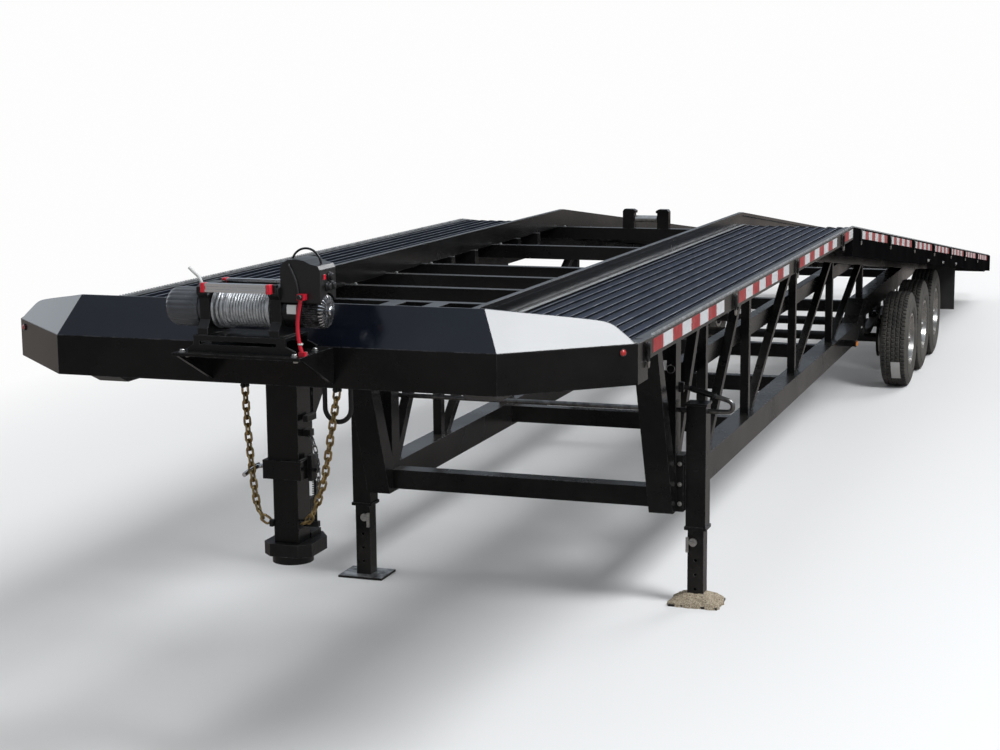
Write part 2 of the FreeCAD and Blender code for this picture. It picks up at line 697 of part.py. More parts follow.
# Safety chains: one link, placed again and again along each chain's hang, every second one a quarter turned
link_hole = "(link_pitch + 1)"
LINK_OUTER = cut_corners("0", "0", "link_width", f"({link_hole} + 2 * link_bar)", "10")
LINK_INNER = cut_corners("0", "0", "(link_width - 2 * link_bar)", link_hole, "4.5")
link = flat_ring("chain_link", "XZ_Plane", LINK_OUTER, LINK_INNER, "-link_bar / 2", "link_bar")
TOP_Z, TOP_Y = SIZES["chain_top_z"], SIZES["chain_top_y"]
FOOT_Z, FOOT_Y = SIZES["chain_foot_z"], SIZES["chain_foot_y"]
HANGS = (
    # points down one chain: x, y, z
    ((SIZES["chain_top_right"], TOP_Y, TOP_Z), (-136, 86, 1430), (-129, 88, 1302), (-110, 92, 1111),
     (-84, 100, 1044), (-72, FOOT_Y, FOOT_Z)),
    ((SIZES["chain_top_left"], TOP_Y, TOP_Z), (222, 86, 1470), (207, 88, 1398), (169, 92, 1206),
     (117, 96, 1072), (82, 104, 1040), (72, FOOT_Y, FOOT_Z)),
)
document.recompute()
chains = document.addObject("Part::Feature", "chain_links")
links = []
for points in HANGS:
    hang = Part.BSplineCurve()
    hang.interpolate([FreeCAD.Vector(*point) for point in points])
    count = round(hang.length() / sheet.link_pitch)
    joints = hang.toShape().discretize(Number=count + 1)
    for number in range(count):
        along = joints[number] - joints[number + 1]
        turn = FreeCAD.Rotation(FreeCAD.Vector(0, 0, 1), along)
        twist = FreeCAD.Rotation(FreeCAD.Vector(0, 0, 1), 90 * (number % 2))
        middle = (joints[number] + joints[number + 1]) / 2
        links.append(link.Shape.transformed(FreeCAD.Placement(middle, turn * twist).toMatrix(), True))
chains.Shape = Part.Compound(links)
EYE_Y = "(chain_top_y - 22)"
EYE_LOW = "(chain_top_z - 14)"
chain_pieces = [chains]
for name, x in (("left", "chain_top_left"), ("right", "chain_top_right")):
    plate = block(f"chain_eye_{name}", f"{x} - 5", EYE_Y, EYE_LOW, "10", "40", f"band_bottom - {EYE_LOW}")
    hole = rod(f"chain_eye_hole_{name}", f"{x} - 6", "chain_top_y", "chain_top_z + 2", "hole_radius", "12")
    chain_pieces.append(carved(f"chain_eye_drilled_{name}", plate, hole))
for name, x in (("left", "column_inner / 2"), ("right", "-column_inner / 2 - chain_lug")):
    lug = block(f"chain_lug_{name}", x, "chain_foot_y - 8", "chain_foot_z - 20", "chain_lug", "24", "26")
    chain_pieces.append(lug)
group("safety_chains", chain_pieces)

# Winch on its tray in front of the beam
TRAY_LOW = "band_top - tray_wall"
tray_plate = block("tray_plate", "-tray_right", "-tray_depth", TRAY_LOW,
                   "tray_left + tray_right", "tray_depth", "tray_wall")
GUSSET = [("0", "band_bottom + 13"), ("0", TRAY_LOW), ("-tray_depth + 20", TRAY_LOW)]
gussets = [side_piece("gusset_left", GUSSET, "tray_left - tray_wall", "tray_wall"),
           side_piece("gusset_right", GUSSET, "-tray_right", "tray_wall")]
subpart(fused("winch_stand_tray", [tray_plate] + gussets), "winch_tray")

gear_case = turned("gear_case", [
    ("-308", "0"), ("-308", "gear_radius * 0.72"), ("-298", "gear_radius * 0.9"), ("-276", "gear_radius"),
    ("-172", "gear_radius"), ("-172", "gear_radius * 0.86"), ("-160", "gear_radius * 0.86"), ("-160", "0"),
], "0", "winch_y", "winch_z")
lever_boss = document.addObject("Part::Cylinder", "lever_boss")
bind(lever_boss, Radius="13", Height="50")
bind(lever_boss, Placement__Base__x="lever_x", Placement__Base__y="winch_y + 30",
     Placement__Base__z="winch_z + 40")
lever = document.addObject("Part::Cylinder", "lever_arm")
lever.Placement.Rotation = FreeCAD.Rotation(FreeCAD.Vector(0, 1, 0), -44)
bind(lever, Radius="6", Height="76")
bind(lever, Placement__Base__x="lever_x", Placement__Base__y="winch_y + 30", Placement__Base__z="winch_z + 84")
subpart(fused("gear_case_with_lever", [gear_case, lever_boss, lever]), "winch_gearbox")
barrel = rod("drum_barrel", "-drum_half", "winch_y", "winch_z", "drum_radius", "2 * drum_half")
flanges = [rod("drum_flange_right", "-drum_half", "winch_y", "winch_z", "flange_radius", "8"),
           rod("drum_flange_left", "drum_half - 8", "winch_y", "winch_z", "flange_radius", "8")]
drum_bore = rod("drum_bore", "-drum_half - 1", "winch_y", "winch_z", "drum_shaft + 0.1", "2 * drum_half + 2")
subpart(carved("drum", fused("drum_blank", [barrel] + flanges), drum_bore), "winch_drum")
motor = turned("motor_case", [
    ("160", "0"), ("160", "motor_radius * 0.92"), ("180", "motor_radius * 0.92"), ("180", "motor_radius"),
    ("300", "motor_radius"), ("318", "motor_radius * 0.8"), ("318", "22"), ("326", "18"), ("326", "0"),
], "0", "winch_y", "winch_z")
subpart(motor, "winch_motor")
BASE_TOP = "(band_top + base_height)"
BASE_OUTLINE = [
    ("-198", "band_top"), ("222", "band_top"), ("222", "band_top + 14"), ("187", "band_top + 30"),
    ("187", BASE_TOP), ("-174", BASE_TOP), ("-174", "band_top + 30"), ("-198", "band_top + 14"),
]
BASE_SLOT = [
    ("-150", "band_top + 28"), ("150", "band_top + 28"), ("150", "band_top + 40"), ("-150", "band_top + 40"),
]
base_walls = [flat_ring("base_front", "XZ_Plane", BASE_OUTLINE, BASE_SLOT, "-winch_y + 83", "12"),
              flat_ring("base_rear", "XZ_Plane", BASE_OUTLINE, BASE_SLOT, "-winch_y - 95", "12")]
base_top = block("base_top", "-174", "winch_y - 95", f"{BASE_TOP} - 12", "361", "190", "12")
END_OUTLINE = [
    ("winch_y - 88", BASE_TOP), ("winch_y + 88", BASE_TOP), ("winch_y + 88", f"{BASE_TOP} + 24"),
    ("winch_y + 64", f"{BASE_TOP} + 52"), ("winch_y + 68", "winch_z + 40"), ("winch_y + 86", "winch_z + 58"),
    ("winch_y + 86", "winch_z + 82"), ("winch_y + 60", "winch_z + 90"), ("winch_y - 60", "winch_z + 90"),
    ("winch_y - 86", "winch_z + 82"), ("winch_y - 86", "winch_z + 58"), ("winch_y - 68", "winch_z + 40"),
    ("winch_y - 64", f"{BASE_TOP} + 52"), ("winch_y - 88", f"{BASE_TOP} + 24"),
]
end_plates = [side_piece("end_plate_right", END_OUTLINE, "-drum_half - 48", "40"),
              side_piece("end_plate_left", END_OUTLINE, "drum_half + 8", "40")]
BAR_LOW = "winch_z + 66"
bars = [block("tie_front", "-drum_half - 24", "winch_y - 88", BAR_LOW, "2 * drum_half + 64", "22", "30"),
        block("tie_rear", "-drum_half - 24", "winch_y + 66", BAR_LOW, "2 * drum_half + 64", "22", "30")]
drum_shaft = rod("drum_shaft", "-drum_half - 48", "winch_y", "winch_z", "drum_shaft", "2 * drum_half + 96")
subpart(fused("winch_stand", end_plates + bars + base_walls + [base_top, drum_shaft]), "winch_frame")

# Control box over the motor, hollowed to clear it, and the lead from its face down to the tray
control = front_piece("control_case", [
    ("box_right", "winch_z + 34"), ("box_left", "winch_z + 34"), ("box_left", "winch_z + 150"),
    ("box_left - 8", "winch_z + 164"), ("box_left - 36", "winch_z + 170"), ("box_left - 62", "winch_z + 182"),
    ("box_left - 90", "winch_z + 186"), ("box_right + 30", "winch_z + 184"),
    ("box_right + 12", "winch_z + 174"), ("box_right", "winch_z + 156"),
], "winch_y - 66", "132")
motor_room = rod("motor_room", "box_right - 1", "winch_y", "winch_z", "motor_radius + 0.5",
                 "box_left - box_right + 2")
arch = document.addObject("Part::Torus", "cable_arch")
arch.Placement.Rotation = FreeCAD.Rotation(FreeCAD.Vector(1, 0, 0), 90)
bind(arch, Radius1="arch_bend", Radius2="4", Angle3="180 deg")
bind(arch, Placement__Base__x="box_right + 76", Placement__Base__y="winch_y - 10", 
     Placement__Base__z="winch_z + 164")
saddle = carved("control_saddle", control, motor_room)
subpart(fused("control_with_cable", [saddle, arch]), "winch_control_box")
LEAD_LOW = "(band_top + 4)"
LEAD_HALF = f"((lead_top - {LEAD_LOW}) / 2)"
lead = document.addObject("Part::Torus", "lead_bend")
upright = FreeCAD.Rotation(FreeCAD.Vector(1, 0, 0), 90)
lead_rise = SIZES["lead_top"] - SIZES["band_top"] - 4
half_turn = math.degrees(math.asin(lead_rise / 2 / SIZES["lead_bend"]))
lead.Placement.Rotation = upright * FreeCAD.Rotation(FreeCAD.Vector(0, 0, 1), 180 - half_turn)
bind(lead, Radius1="lead_bend", Radius2="lead_radius", Angle3=f"2 * asin({LEAD_HALF} / lead_bend)")
bind(lead, Placement__Base__x="lead_x + lead_bend", Placement__Base__y="winch_y - 87",
     Placement__Base__z=f"{LEAD_LOW} + {LEAD_HALF}")
gland = block("lead_gland", "lead_x + 4", "winch_y - 98", "lead_top", "26", "32", "20")
foot_gland = block("lead_foot_gland", "lead_x + 5", "winch_y - 97", "band_top", "24", "20", "14")
subpart(fused("lead_with_gland", [lead, gland, foot_gland]), "winch_lead")

# Wiring that hangs in a loop behind the front beam, both of its ends held by a clamp
CLAMP_Z = "(band_bottom + 10)"
LOOP_Z = f"({CLAMP_Z} - loop_drop)"
loop_pieces = []
for name, x in (("left", "loop_x + loop_bend"), ("right", "loop_x - loop_bend")):
    leg = document.addObject("Part::Cylinder", f"loop_leg_{name}")
    bind(leg, Radius="loop_radius", Height="loop_drop")
    bind(leg, Placement__Base__x=x, Placement__Base__y="loop_y", Placement__Base__z=LOOP_Z)
    loop_pieces.append(leg)
loop_foot = document.addObject("Part::Torus", "loop_foot")
loop_foot.Placement.Rotation = FreeCAD.Rotation(FreeCAD.Vector(1, 0, 0), -90)
bind(loop_foot, Radius1="loop_bend", Radius2="loop_radius", Angle3="180 deg")
bind(loop_foot, Placement__Base__x="loop_x", Placement__Base__y="loop_y", Placement__Base__z=LOOP_Z)
clamp = block("loop_clamp", "loop_x - loop_bend - 16", "band_depth", CLAMP_Z,
              "2 * loop_bend + 32", "loop_y + 12 - band_depth", "14")
subpart(fused("wiring_with_clamp", loop_pieces + [loop_foot, clamp]), "wiring_loop")

# Line roller at the knee
ROLLER_POST = [
    ("75", CROSS_TOP), ("150", CROSS_TOP), ("150", f"{CROSS_TOP} + 108"), ("140", f"{CROSS_TOP} + 122"),
    ("84", f"{CROSS_TOP} + 122"), ("66", f"{CROSS_TOP} + 112"), ("66", f"{CROSS_TOP} + 98"),
    ("75", f"{CROSS_TOP} + 98"),
]
roller_post = front_piece("roller_post_left", ROLLER_POST, "5380", "cross_width")
roller_posts = [roller_post, mirrored(roller_post)]
roller_pin = rod("roller_pin", "-80", "5405", f"{CROSS_TOP} + 60", "roller_pin", "160")
subpart(fused("roller_stand", roller_posts + [roller_pin]), "roller_bracket")
roller = rod("roller_barrel", "-70", "5405", f"{CROSS_TOP} + 60", "22", "140")
roller_bore = rod("roller_bore", "-71", "5405", f"{CROSS_TOP} + 60", "roller_pin + 0.1", "142")
subpart(carved("roller_tube", roller, roller_bore), "line_roller")

# Jacks: gear housings beside the front posts, telescoping legs with feet, one crank and its shaft
housings = block("jack_tube_left", "jack_x - jack_tube / 2", "jack_y - jack_tube / 2", "jack_bottom",
                 "jack_tube", "jack_tube", "jack_top - jack_bottom")
hollow = block("jack_hollow", "jack_x - leg_tube / 2 - 1", "jack_y - leg_tube / 2 - 1", "jack_bottom - 1",
               "leg_tube + 2", "leg_tube + 2", "400")
JACK_SIDE = "(jack_x - jack_tube / 2)"
plate = block("jack_plate", "truss_outer", "jack_y - jack_tube", "jack_plate_low",
              f"{JACK_SIDE} - truss_outer", "jack_tube", "jack_plate_high - jack_plate_low")
cap = block("jack_cap_plate", f"{JACK_SIDE} - jack_cap", "jack_y - jack_tube / 2 - jack_cap", "jack_top",
            "jack_tube + 2 * jack_cap", "jack_tube + 2 * jack_cap", "12")
lip = block("jack_lip", f"{JACK_SIDE} - jack_cap", "jack_y - jack_tube / 2 - jack_cap", "jack_bottom + 2",
            "jack_tube + 2 * jack_cap", "jack_tube + 2 * jack_cap", "16")
jack_shell = fused("jack_shell", [housings, plate, cap, lip])
both_sides("jack_housings", [carved("jack_housing", jack_shell, hollow)])
leg = block("leg_tube_left", "jack_x - leg_tube / 2", "jack_y - leg_tube / 2", "foot_wall", "leg_tube",
            "leg_tube", "jack_bottom + 380")
foot = block("leg_foot", "jack_x - foot_length / 2", "jack_y - foot_width / 2", "0", "foot_length",
             "foot_width", "foot_wall")
holes = [peg(f"leg_hole_{number}", "jack_x", "jack_y - leg_tube", f"{height}", "hole_radius", "leg_tube")
         for number, height in enumerate((84, 160, 236))]
drilled = carved("leg_drilled", leg, fused("leg_holes", holes))
both_sides("jack_legs", [fused("jack_leg", [drilled, foot])])
LEG_FRONT = "(jack_y - leg_tube / 2)"
pin_plate = peg("pin_plate", "jack_x - 12", f"{LEG_FRONT} - 12", "jack_bottom - 62", "21", "12")
pin_pull = block("pin_pull", "jack_x - 46", f"{LEG_FRONT} - 26", "jack_bottom - 112", "14", "14", "78")
pin_neck = block("pin_neck", "jack_x - 40", f"{LEG_FRONT} - 24", "jack_bottom - 68", "28", "12", "12")
both_sides("jack_pins", [fused("jack_pin", [pin_plate, pin_pull, pin_neck])])
shaft = rod("jack_shaft", "-jack_x + jack_tube / 2", "shaft_y", "shaft_z", "shaft_radius",
            "2 * jack_x - jack_tube")
CRANK = (
    # joint along the crank: x, z
    ("jack_x + jack_tube / 2", "shaft_z"), ("crank_out - 26", "shaft_z"), ("crank_out", "shaft_z + 14"),
    ("crank_out", "shaft_z + crank_rise"), ("crank_out - 24", "shaft_z + crank_rise + 20"),
    ("handle_end", "shaft_z + handle_rise"),
)
OUTWARDS, UPRIGHT, INWARDS = "90 deg - atan({up} / {across})", "0 deg", "-90 deg - atan({up} / {across})"
CRANK_TURNS = (OUTWARDS, OUTWARDS, UPRIGHT, INWARDS, INWARDS)
crank = []
for number, (start, end) in enumerate(zip(CRANK, CRANK[1:])):
    across, up = f"({end[0]} - ({start[0]}))", f"({end[1]} - ({start[1]}))"
    bar = document.addObject("Part::Cylinder", f"crank_bar_{number}")
    bar.Placement.Rotation = FreeCAD.Rotation(FreeCAD.Vector(0, 1, 0), 90)
    bind(bar, Radius="shaft_radius", Height=f"sqrt({across} ^ 2 + {up} ^ 2)")
    bind(bar, Placement__Base__x=start[0], Placement__Base__y="shaft_y", Placement__Base__z=start[1])
    bind(bar, Placement__Rotation__Angle=CRANK_TURNS[number].format(up=up, across=across))
    crank.append(bar)
    if number:
        elbow = document.addObject("Part::Sphere", f"crank_elbow_{number}")
        bind(elbow, Radius="shaft_radius")
        bind(elbow, Placement__Base__x=start[0], Placement__Base__y="shaft_y", Placement__Base__z=start[1])
        crank.append(elbow)
group("jack_crank", [shaft, fused("crank", crank)])

# Axles, springs and hangers
AXLES = (
    # name, place
    ("one", "axle_y"),
    ("two", "axle_y + axle_pitch"),
    ("three", "axle_y + 2 * axle_pitch"),
)
BACK_PLATE = 868
axles = []
for name, y in AXLES:
    beam = rod(f"axle_{name}", "-880", y, "tyre_radius", "axle_radius", "1760")
    plates = [rod(f"back_plate_left_{name}", BACK_PLATE, y, "tyre_radius", "160", "12"),
              rod(f"back_plate_right_{name}", -BACK_PLATE - 12, y, "tyre_radius", "160", "12")]
    spindle = rod(f"spindle_{name}", "-970", y, "tyre_radius", "30", "1940")
    axles.append(fused(f"axle_{name}_welded", [beam, spindle] + plates))
group("axles", axles)
CHEEK_GAP = "(spring_width / 2 + 1)"
springs = []
for name, y in AXLES:
    spring = side_piece(f"spring_{name}", [
        (f"{y} - spring_half", "eye_height - 8"), (f"{y} - 60", "tyre_radius + axle_radius"),
        (f"{y} + 60", "tyre_radius + axle_radius"), (f"{y} + spring_half", "eye_height - 8"),
        (f"{y} + spring_half", "eye_height + 8"), (f"{y} + 60", "tyre_radius + axle_radius + 48"),
        (f"{y} - 60", "tyre_radius + axle_radius + 48"), (f"{y} - spring_half", "eye_height + 8"),
    ], "spring_x - spring_width / 2", "spring_width")
    # The outermost ends hang on eye pins between their hanger's cheeks
    if name != "two":
        end = f"{y} - spring_half - 10" if name == "one" else f"{y} + spring_half + 10"
        pin = rod(f"spring_pin_{name}", f"spring_x - {CHEEK_GAP}", end, "eye_height", "spring_eye",
                  f"2 * {CHEEK_GAP}")
        spring = fused(f"spring_with_pin_{name}", [spring, pin])
    springs.append(spring)
both_sides("leaf_springs", springs)
hangers = []
HANGERS = (
    # place, half width at the rail
    ("axle_y - spring_half - 10", 90),
    ("axle_y + axle_pitch / 2", 130),
    ("axle_y + axle_pitch * 3 / 2", 130),
    ("axle_y + axle_pitch * 2 + spring_half + 10", 90),
)
for number, (y, width) in enumerate(HANGERS):
    cheek = [(f"{y} - {width}", RAISED), (f"{y} - 40", "eye_height - 40"), (f"{y} + 40", "eye_height - 40"),
             (f"{y} + {width}", RAISED)]
    hangers.append(side_piece(f"hanger_inner_{number}", cheek, f"spring_x - {CHEEK_GAP} - cheek", "cheek"))
    hangers.append(side_piece(f"hanger_outer_{number}", cheek, f"spring_x + {CHEEK_GAP}", "cheek"))
both_sides("spring_hangers", hangers)
EQUALISER_HALF = "(axle_pitch / 2 - spring_half)"
equalisers = []
for number, (y, width) in enumerate(HANGERS[1:3]):
    rocker = side_piece(f"equaliser_{number}", [
        (f"{y} - {EQUALISER_HALF}", "eye_height - 30"), (f"{y} + {EQUALISER_HALF}", "eye_height - 30"),
        (f"{y} + {EQUALISER_HALF}", "eye_height + 24"), (f"{y} + 30", "eye_height + 52"),
        (f"{y} - 30", "eye_height + 52"), (f"{y} - {EQUALISER_HALF}", "eye_height + 24"),
    ], "spring_x - 14", "28")
    pin = rod(f"equaliser_pin_{number}", f"spring_x - {CHEEK_GAP}", y, "eye_height + 14", "spring_eye",
              f"2 * {CHEEK_GAP}")
    equalisers.append(fused(f"equaliser_with_pin_{number}", [rocker, pin]))
both_sides("spring_equalisers", equalisers)

# Wheels: each tyre and rim is revolved about the axle
TYRE_PROFILE = (
    # across, radius
    ("-90", "bead_radius"), ("-tyre_half", "275"), ("-tyre_half", "320"), ("-98", "tyre_radius - 15"),
    ("-70", "tyre_radius"), ("70", "tyre_radius"), ("98", "tyre_radius - 15"), ("tyre_half", "320"),
    ("tyre_half", "275"), ("90", "bead_radius"),
)
RIM_PROFILE = (
    # across from the wheel's middle plane towards the outside, radius
    ("-104", "220"), ("-97", "220"), ("-97", "bead_radius - 0.5"), ("97", "bead_radius - 0.5"), ("97", "220"),
    ("104", "220"), ("104", "200"), ("66", "190"), ("34", "150"), ("28", "82"), ("72", "74"), ("72", "0"),
    ("-60", "0"), ("-60", "70"), ("-156", "75"), ("-156", "152"), ("-90", "152"), ("-84", "100"),
    ("12", "92"), ("18", "150"), ("44", "184"), ("-104", "192"),
)


for side, side_name in ((1, "left"), (-1, "right")):
    for number, (name, y) in enumerate(AXLES, start=1):
        place = (f"{side} * wheel_x", y, "tyre_radius")
        tyre_profile = [(f"{side} * ({across})", radius) for across, radius in TYRE_PROFILE]
        rim_profile = [(f"{side} * ({across})", radius) for across, radius in RIM_PROFILE]
        subpart(turned(f"tyre_{side_name}_{number}", tyre_profile, *place), f"tyre_{side_name}_{number}")
        rim = turned(f"rim_blank_{side_name}_{number}", rim_profile, *place)
        drills = []
        for hole in range(8):
            drill = rod(f"hand_hole_{side_name}_{number}_{hole}", f"{side} * wheel_x + {min(0, side * 60)}",
                        f"{y} + hand_hole_circle * cos({45 * hole} deg)",
                        f"tyre_radius + hand_hole_circle * sin({45 * hole} deg)", "hand_hole", "60")
            drills.append(drill)
        drill_set = fused(f"drills_{side_name}_{number}", drills)
        subpart(carved(f"rim_drilled_{side_name}_{number}", rim, drill_set), f"rim_{side_name}_{number}")

# Rear end
rear_beam = block("rear_beam", f"-({RUB_X})", REAR_STOP, "rear_height - side_beam_depth",
                  f"2 * ({RUB_X})", "rear_beam - lamp_depth", "side_beam_depth - 10")
subpart(rear_beam, "rear_beam")
flap = block("flap_left", f"{RUB_X} - flap_width", "flap_y", "flap_bottom",
             "flap_width", "8", "flap_height")
both_sides("mudflaps", [flap])

# Lamps: tail lamps on the rear beam, markers on the front beam's ends and on brackets by the wheels
TAIL_Y = "(trailer_length - lamp_depth)"
tail_lamps = [peg(f"tail_lamp_{x}", f"{x}", TAIL_Y, "tail_lamp_z", "tail_lamp", "lamp_depth")
              for x in (980, 1120)]
rear_markers = [peg(f"rear_marker_{number}", f"{x}", TAIL_Y, "tail_lamp_z", "marker", "lamp_depth")
                for number, x in enumerate((-150, 0, 150))]
group("tail_lamps", tail_lamps + [mirrored(lamp) for lamp in tail_lamps] + rear_markers)
marker_outline = cut_corners("0", "0", "(2 * marker)", "(2 * marker)", "0.6 * marker")
marker = front_piece("front_marker_left", marker_outline, "-8", "8")
marker.Placement.Rotation = FreeCAD.Rotation(FreeCAD.Vector(0, 0, 1), 45)
bind(marker, Placement__Rotation__Angle="atan(facet_run / (half_width - front_half))")
bind(marker, Placement__Base__x="marker_x", Placement__Base__z="band_top - 28",
     Placement__Base__y="(marker_x - front_half) * facet_run / (half_width - front_half)")
side_lens = block("side_lens", "truss_outer + side_reach", "side_marker_y - 30", f"{SIDE_MARKER_LOW} + 10",
                  "lamp_depth", "60", "30")
both_sides("marker_lamps", [marker, side_lens])

# Tie-down hooks: closed eyes on the rub rails, the front ones level and the rear ones down the slope
EYE_WIDTH, EYE_HEIGHT = "(hook_width - 2 * hook_bar)", "(hook_height - 2 * hook_bar)"
hooks = []
HOOK_ROWS = (
    # name, first place, pitch, count
    ("front", "hook_first", "hook_pitch", 4),
    ("rear", "hook_rear_first", "hook_rear_pitch", 7),
)
for name, first, pitch, count in HOOK_ROWS:
    for number in range(count):
        y = f"({first} + {number} * {pitch})"
        deck_z = "deck_height" if name == "front" else deck_at(y)
        z = f"({deck_z} - hook_drop)"
        hooks.append(flat_ring(f"hook_{name}_{number}", "YZ_Plane",
                               cut_corners(y, z, "hook_width", "hook_height", "10"),
                               cut_corners(y, z, EYE_WIDTH, EYE_HEIGHT, "4"),
                               "half_width", "hook_depth"))
both_sides("tie_down_hooks", hooks)

document.recompute()
for thing in document.Objects:
    if "Invalid" in thing.State or "Error" in thing.State:
        raise RuntimeError(f"{thing.Name} is {thing.State}")
os.makedirs("parts", exist_ok=True)
for thing in subparts:
    shape = thing.Shape
    if shape.isNull() or not shape.isValid() or not shape.Solids:
        raise RuntimeError(f"{thing.Label} has no valid solid")
    shape.exportStep(f"parts/{thing.Label}.step")
    print(f"{thing.Label}: {len(shape.Solids)} solids, {shape.Volume / 1e9:.4f} cubic metres")
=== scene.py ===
"""Gooseneck wedge car hauler trailer: finishes, tyres, tape, winch rope, chains and small parts, in metres.

+X is the trailer's left, +Y its rear and +Z up, with the origin on the ground below its middle.
"""
import json
import math

import bpy
import numpy as np
from mathutils import Matrix, Vector


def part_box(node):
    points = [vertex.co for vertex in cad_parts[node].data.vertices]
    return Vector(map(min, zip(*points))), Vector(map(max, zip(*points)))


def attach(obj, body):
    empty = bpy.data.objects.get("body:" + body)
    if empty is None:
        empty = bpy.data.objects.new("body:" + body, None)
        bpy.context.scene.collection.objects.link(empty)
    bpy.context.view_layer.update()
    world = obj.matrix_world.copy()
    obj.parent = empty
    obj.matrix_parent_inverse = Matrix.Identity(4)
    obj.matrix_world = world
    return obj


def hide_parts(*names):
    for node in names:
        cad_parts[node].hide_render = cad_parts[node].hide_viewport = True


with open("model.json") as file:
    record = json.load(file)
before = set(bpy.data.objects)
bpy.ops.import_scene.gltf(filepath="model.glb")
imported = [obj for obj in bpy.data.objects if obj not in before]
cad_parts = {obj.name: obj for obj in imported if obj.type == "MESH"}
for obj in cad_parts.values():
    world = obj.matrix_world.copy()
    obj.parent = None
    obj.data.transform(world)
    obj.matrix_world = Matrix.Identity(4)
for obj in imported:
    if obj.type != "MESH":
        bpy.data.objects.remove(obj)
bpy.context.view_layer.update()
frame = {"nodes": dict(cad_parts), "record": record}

bl_info = {
    "name": "Car hauler trailer finish",
    "version": (1, 0, 0),
    "blender": (4, 5, 0),
    "location": "3D View > Sidebar > Hauler",
    "description": "Builds the tyres, tape, rope, chains, lamps and finishes of a wedge car hauler trailer",
    "category": "Object",
}

BODY = "frame"

# Photograph's view: place in metres, turns in degrees, lens for a 36 mm wide sensor
CAMERA_PLACE = (3.012, -13.961, 2.712)
CAMERA_YAW = 19.33
CAMERA_PITCH = -9.395
CAMERA_ROLL = -0.517
CAMERA_LENS = 66.66


# Places on the trailer: x across, y back from the front beam's face, z up

def box_of(node):
    """A node's low and high corners as arrays."""
    low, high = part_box(node)
    return np.array(low, float), np.array(high, float)


FACE_Y = float(box_of("front_band")[0][1])
RAIL_FRONT, RAIL_REAR = box_of("outer_rails_front"), box_of("outer_rails_rear")
HALF_WIDTH = float(RAIL_REAR[1][0])
DECK_TOP = float(RAIL_FRONT[1][2])
KNEE_Y = float(RAIL_REAR[0][1]) - FACE_Y
TRAILER_LENGTH = float(RAIL_REAR[1][1]) - FACE_Y
BEAM_DEPTH = 0.178                      # side beam behind the knee
FALL = (DECK_TOP - float(RAIL_REAR[0][2]) - BEAM_DEPTH) / (TRAILER_LENGTH - KNEE_Y)
FOLD_X = 0.886                          # where the front beam turns back
FOLD_RUN = 0.376                        # how far back it comes at its outer ends
WINCH_Y = -0.140
WINCH_FLOOR = 1.728                     # tray's top
JACK_X, JACK_Y = 0.918, 2.960
CRANK_Y = 2.975
RIB_FIRST, RIB_PITCH = 0.640, 0.063     # deck ribs' middles
HIGHLIGHT_LINE_OFFSET = 0.0055                    # painted highlight line's place beside a rib's middle
LEVEL_HOOK_PITCH, SLOPE_HOOK_PITCH = 1.524, 1.432
SIDES = (("left", 1.0), ("right", -1.0))
UP, DOWN = (0.0, 0.0, 1.0), (0.0, 0.0, -1.0)
FORWARD, BACK, LEFT = (0.0, -1.0, 0.0), (0.0, 1.0, 0.0), (1.0, 0.0, 0.0)


def at(x, y, z):
    """A place told from the front beam's face, in the model's own metres."""
    return np.array([x, y + FACE_Y, z], float)


def route(*places):
    """Several such places as rows."""
    return np.array([at(*place) for place in places])


def deck_height(y):
    """Top of the deck at places y: level to the knee, then down along the fall."""
    return DECK_TOP - np.clip(np.asarray(y, float) - KNEE_Y, 0.0, None) * FALL


# Shapes: each is an array of points and a list of arrays of faces

def angles(count):
    """Even angles round a turn: 2 pi n / count."""
    return np.arange(count) * math.tau / count


def circle(radius, sides=8):
    """Round profile (r cos t, r sin t)."""
    turn = angles(sides)
    return radius * np.stack([np.cos(turn), np.sin(turn)], 1)


def grid_faces(rows, columns, close_rows=False, close_columns=False):
    """Quads of a grid of points kept row by row; a closed direction joins its last line to its first."""
    row = np.arange(rows if close_rows else rows - 1)
    column = np.arange(columns if close_columns else columns - 1)
    r, c = np.meshgrid(row, column, indexing="ij")
    r_next, c_next = (r + 1) % rows, (c + 1) % columns
    corners = [r * columns + c, r * columns + c_next, r_next * columns + c_next, r_next * columns + c]
    return np.stack(corners, -1).reshape(-1, 4)


def outward(points, faces):
    """Faces turned so that their volume, the sum of a.(b x c) / 6 over their triangles, is positive."""
    volume = 0.0
    for block in faces:
        wings = np.cross(points[block[:, 1:-1]], points[block[:, 2:]])
        volume += float((points[block[:, :1]] * wings).sum())
    return faces if volume >= 0.0 else [block[:, ::-1] for block in faces]


def stacked(rings, loop=False):
    """Closed shape from rings x corners x 3 points; its end rings are filled, or joined in a loop."""
    rows, corners = rings.shape[:2]
    points = rings.reshape(-1, 3)
    faces = [grid_faces(rows, corners, loop, True)]
    if not loop:
        ring = np.arange(corners)
        faces += [ring[None, ::-1], (rows - 1) * corners + ring[None]]
    return points, outward(points, faces)


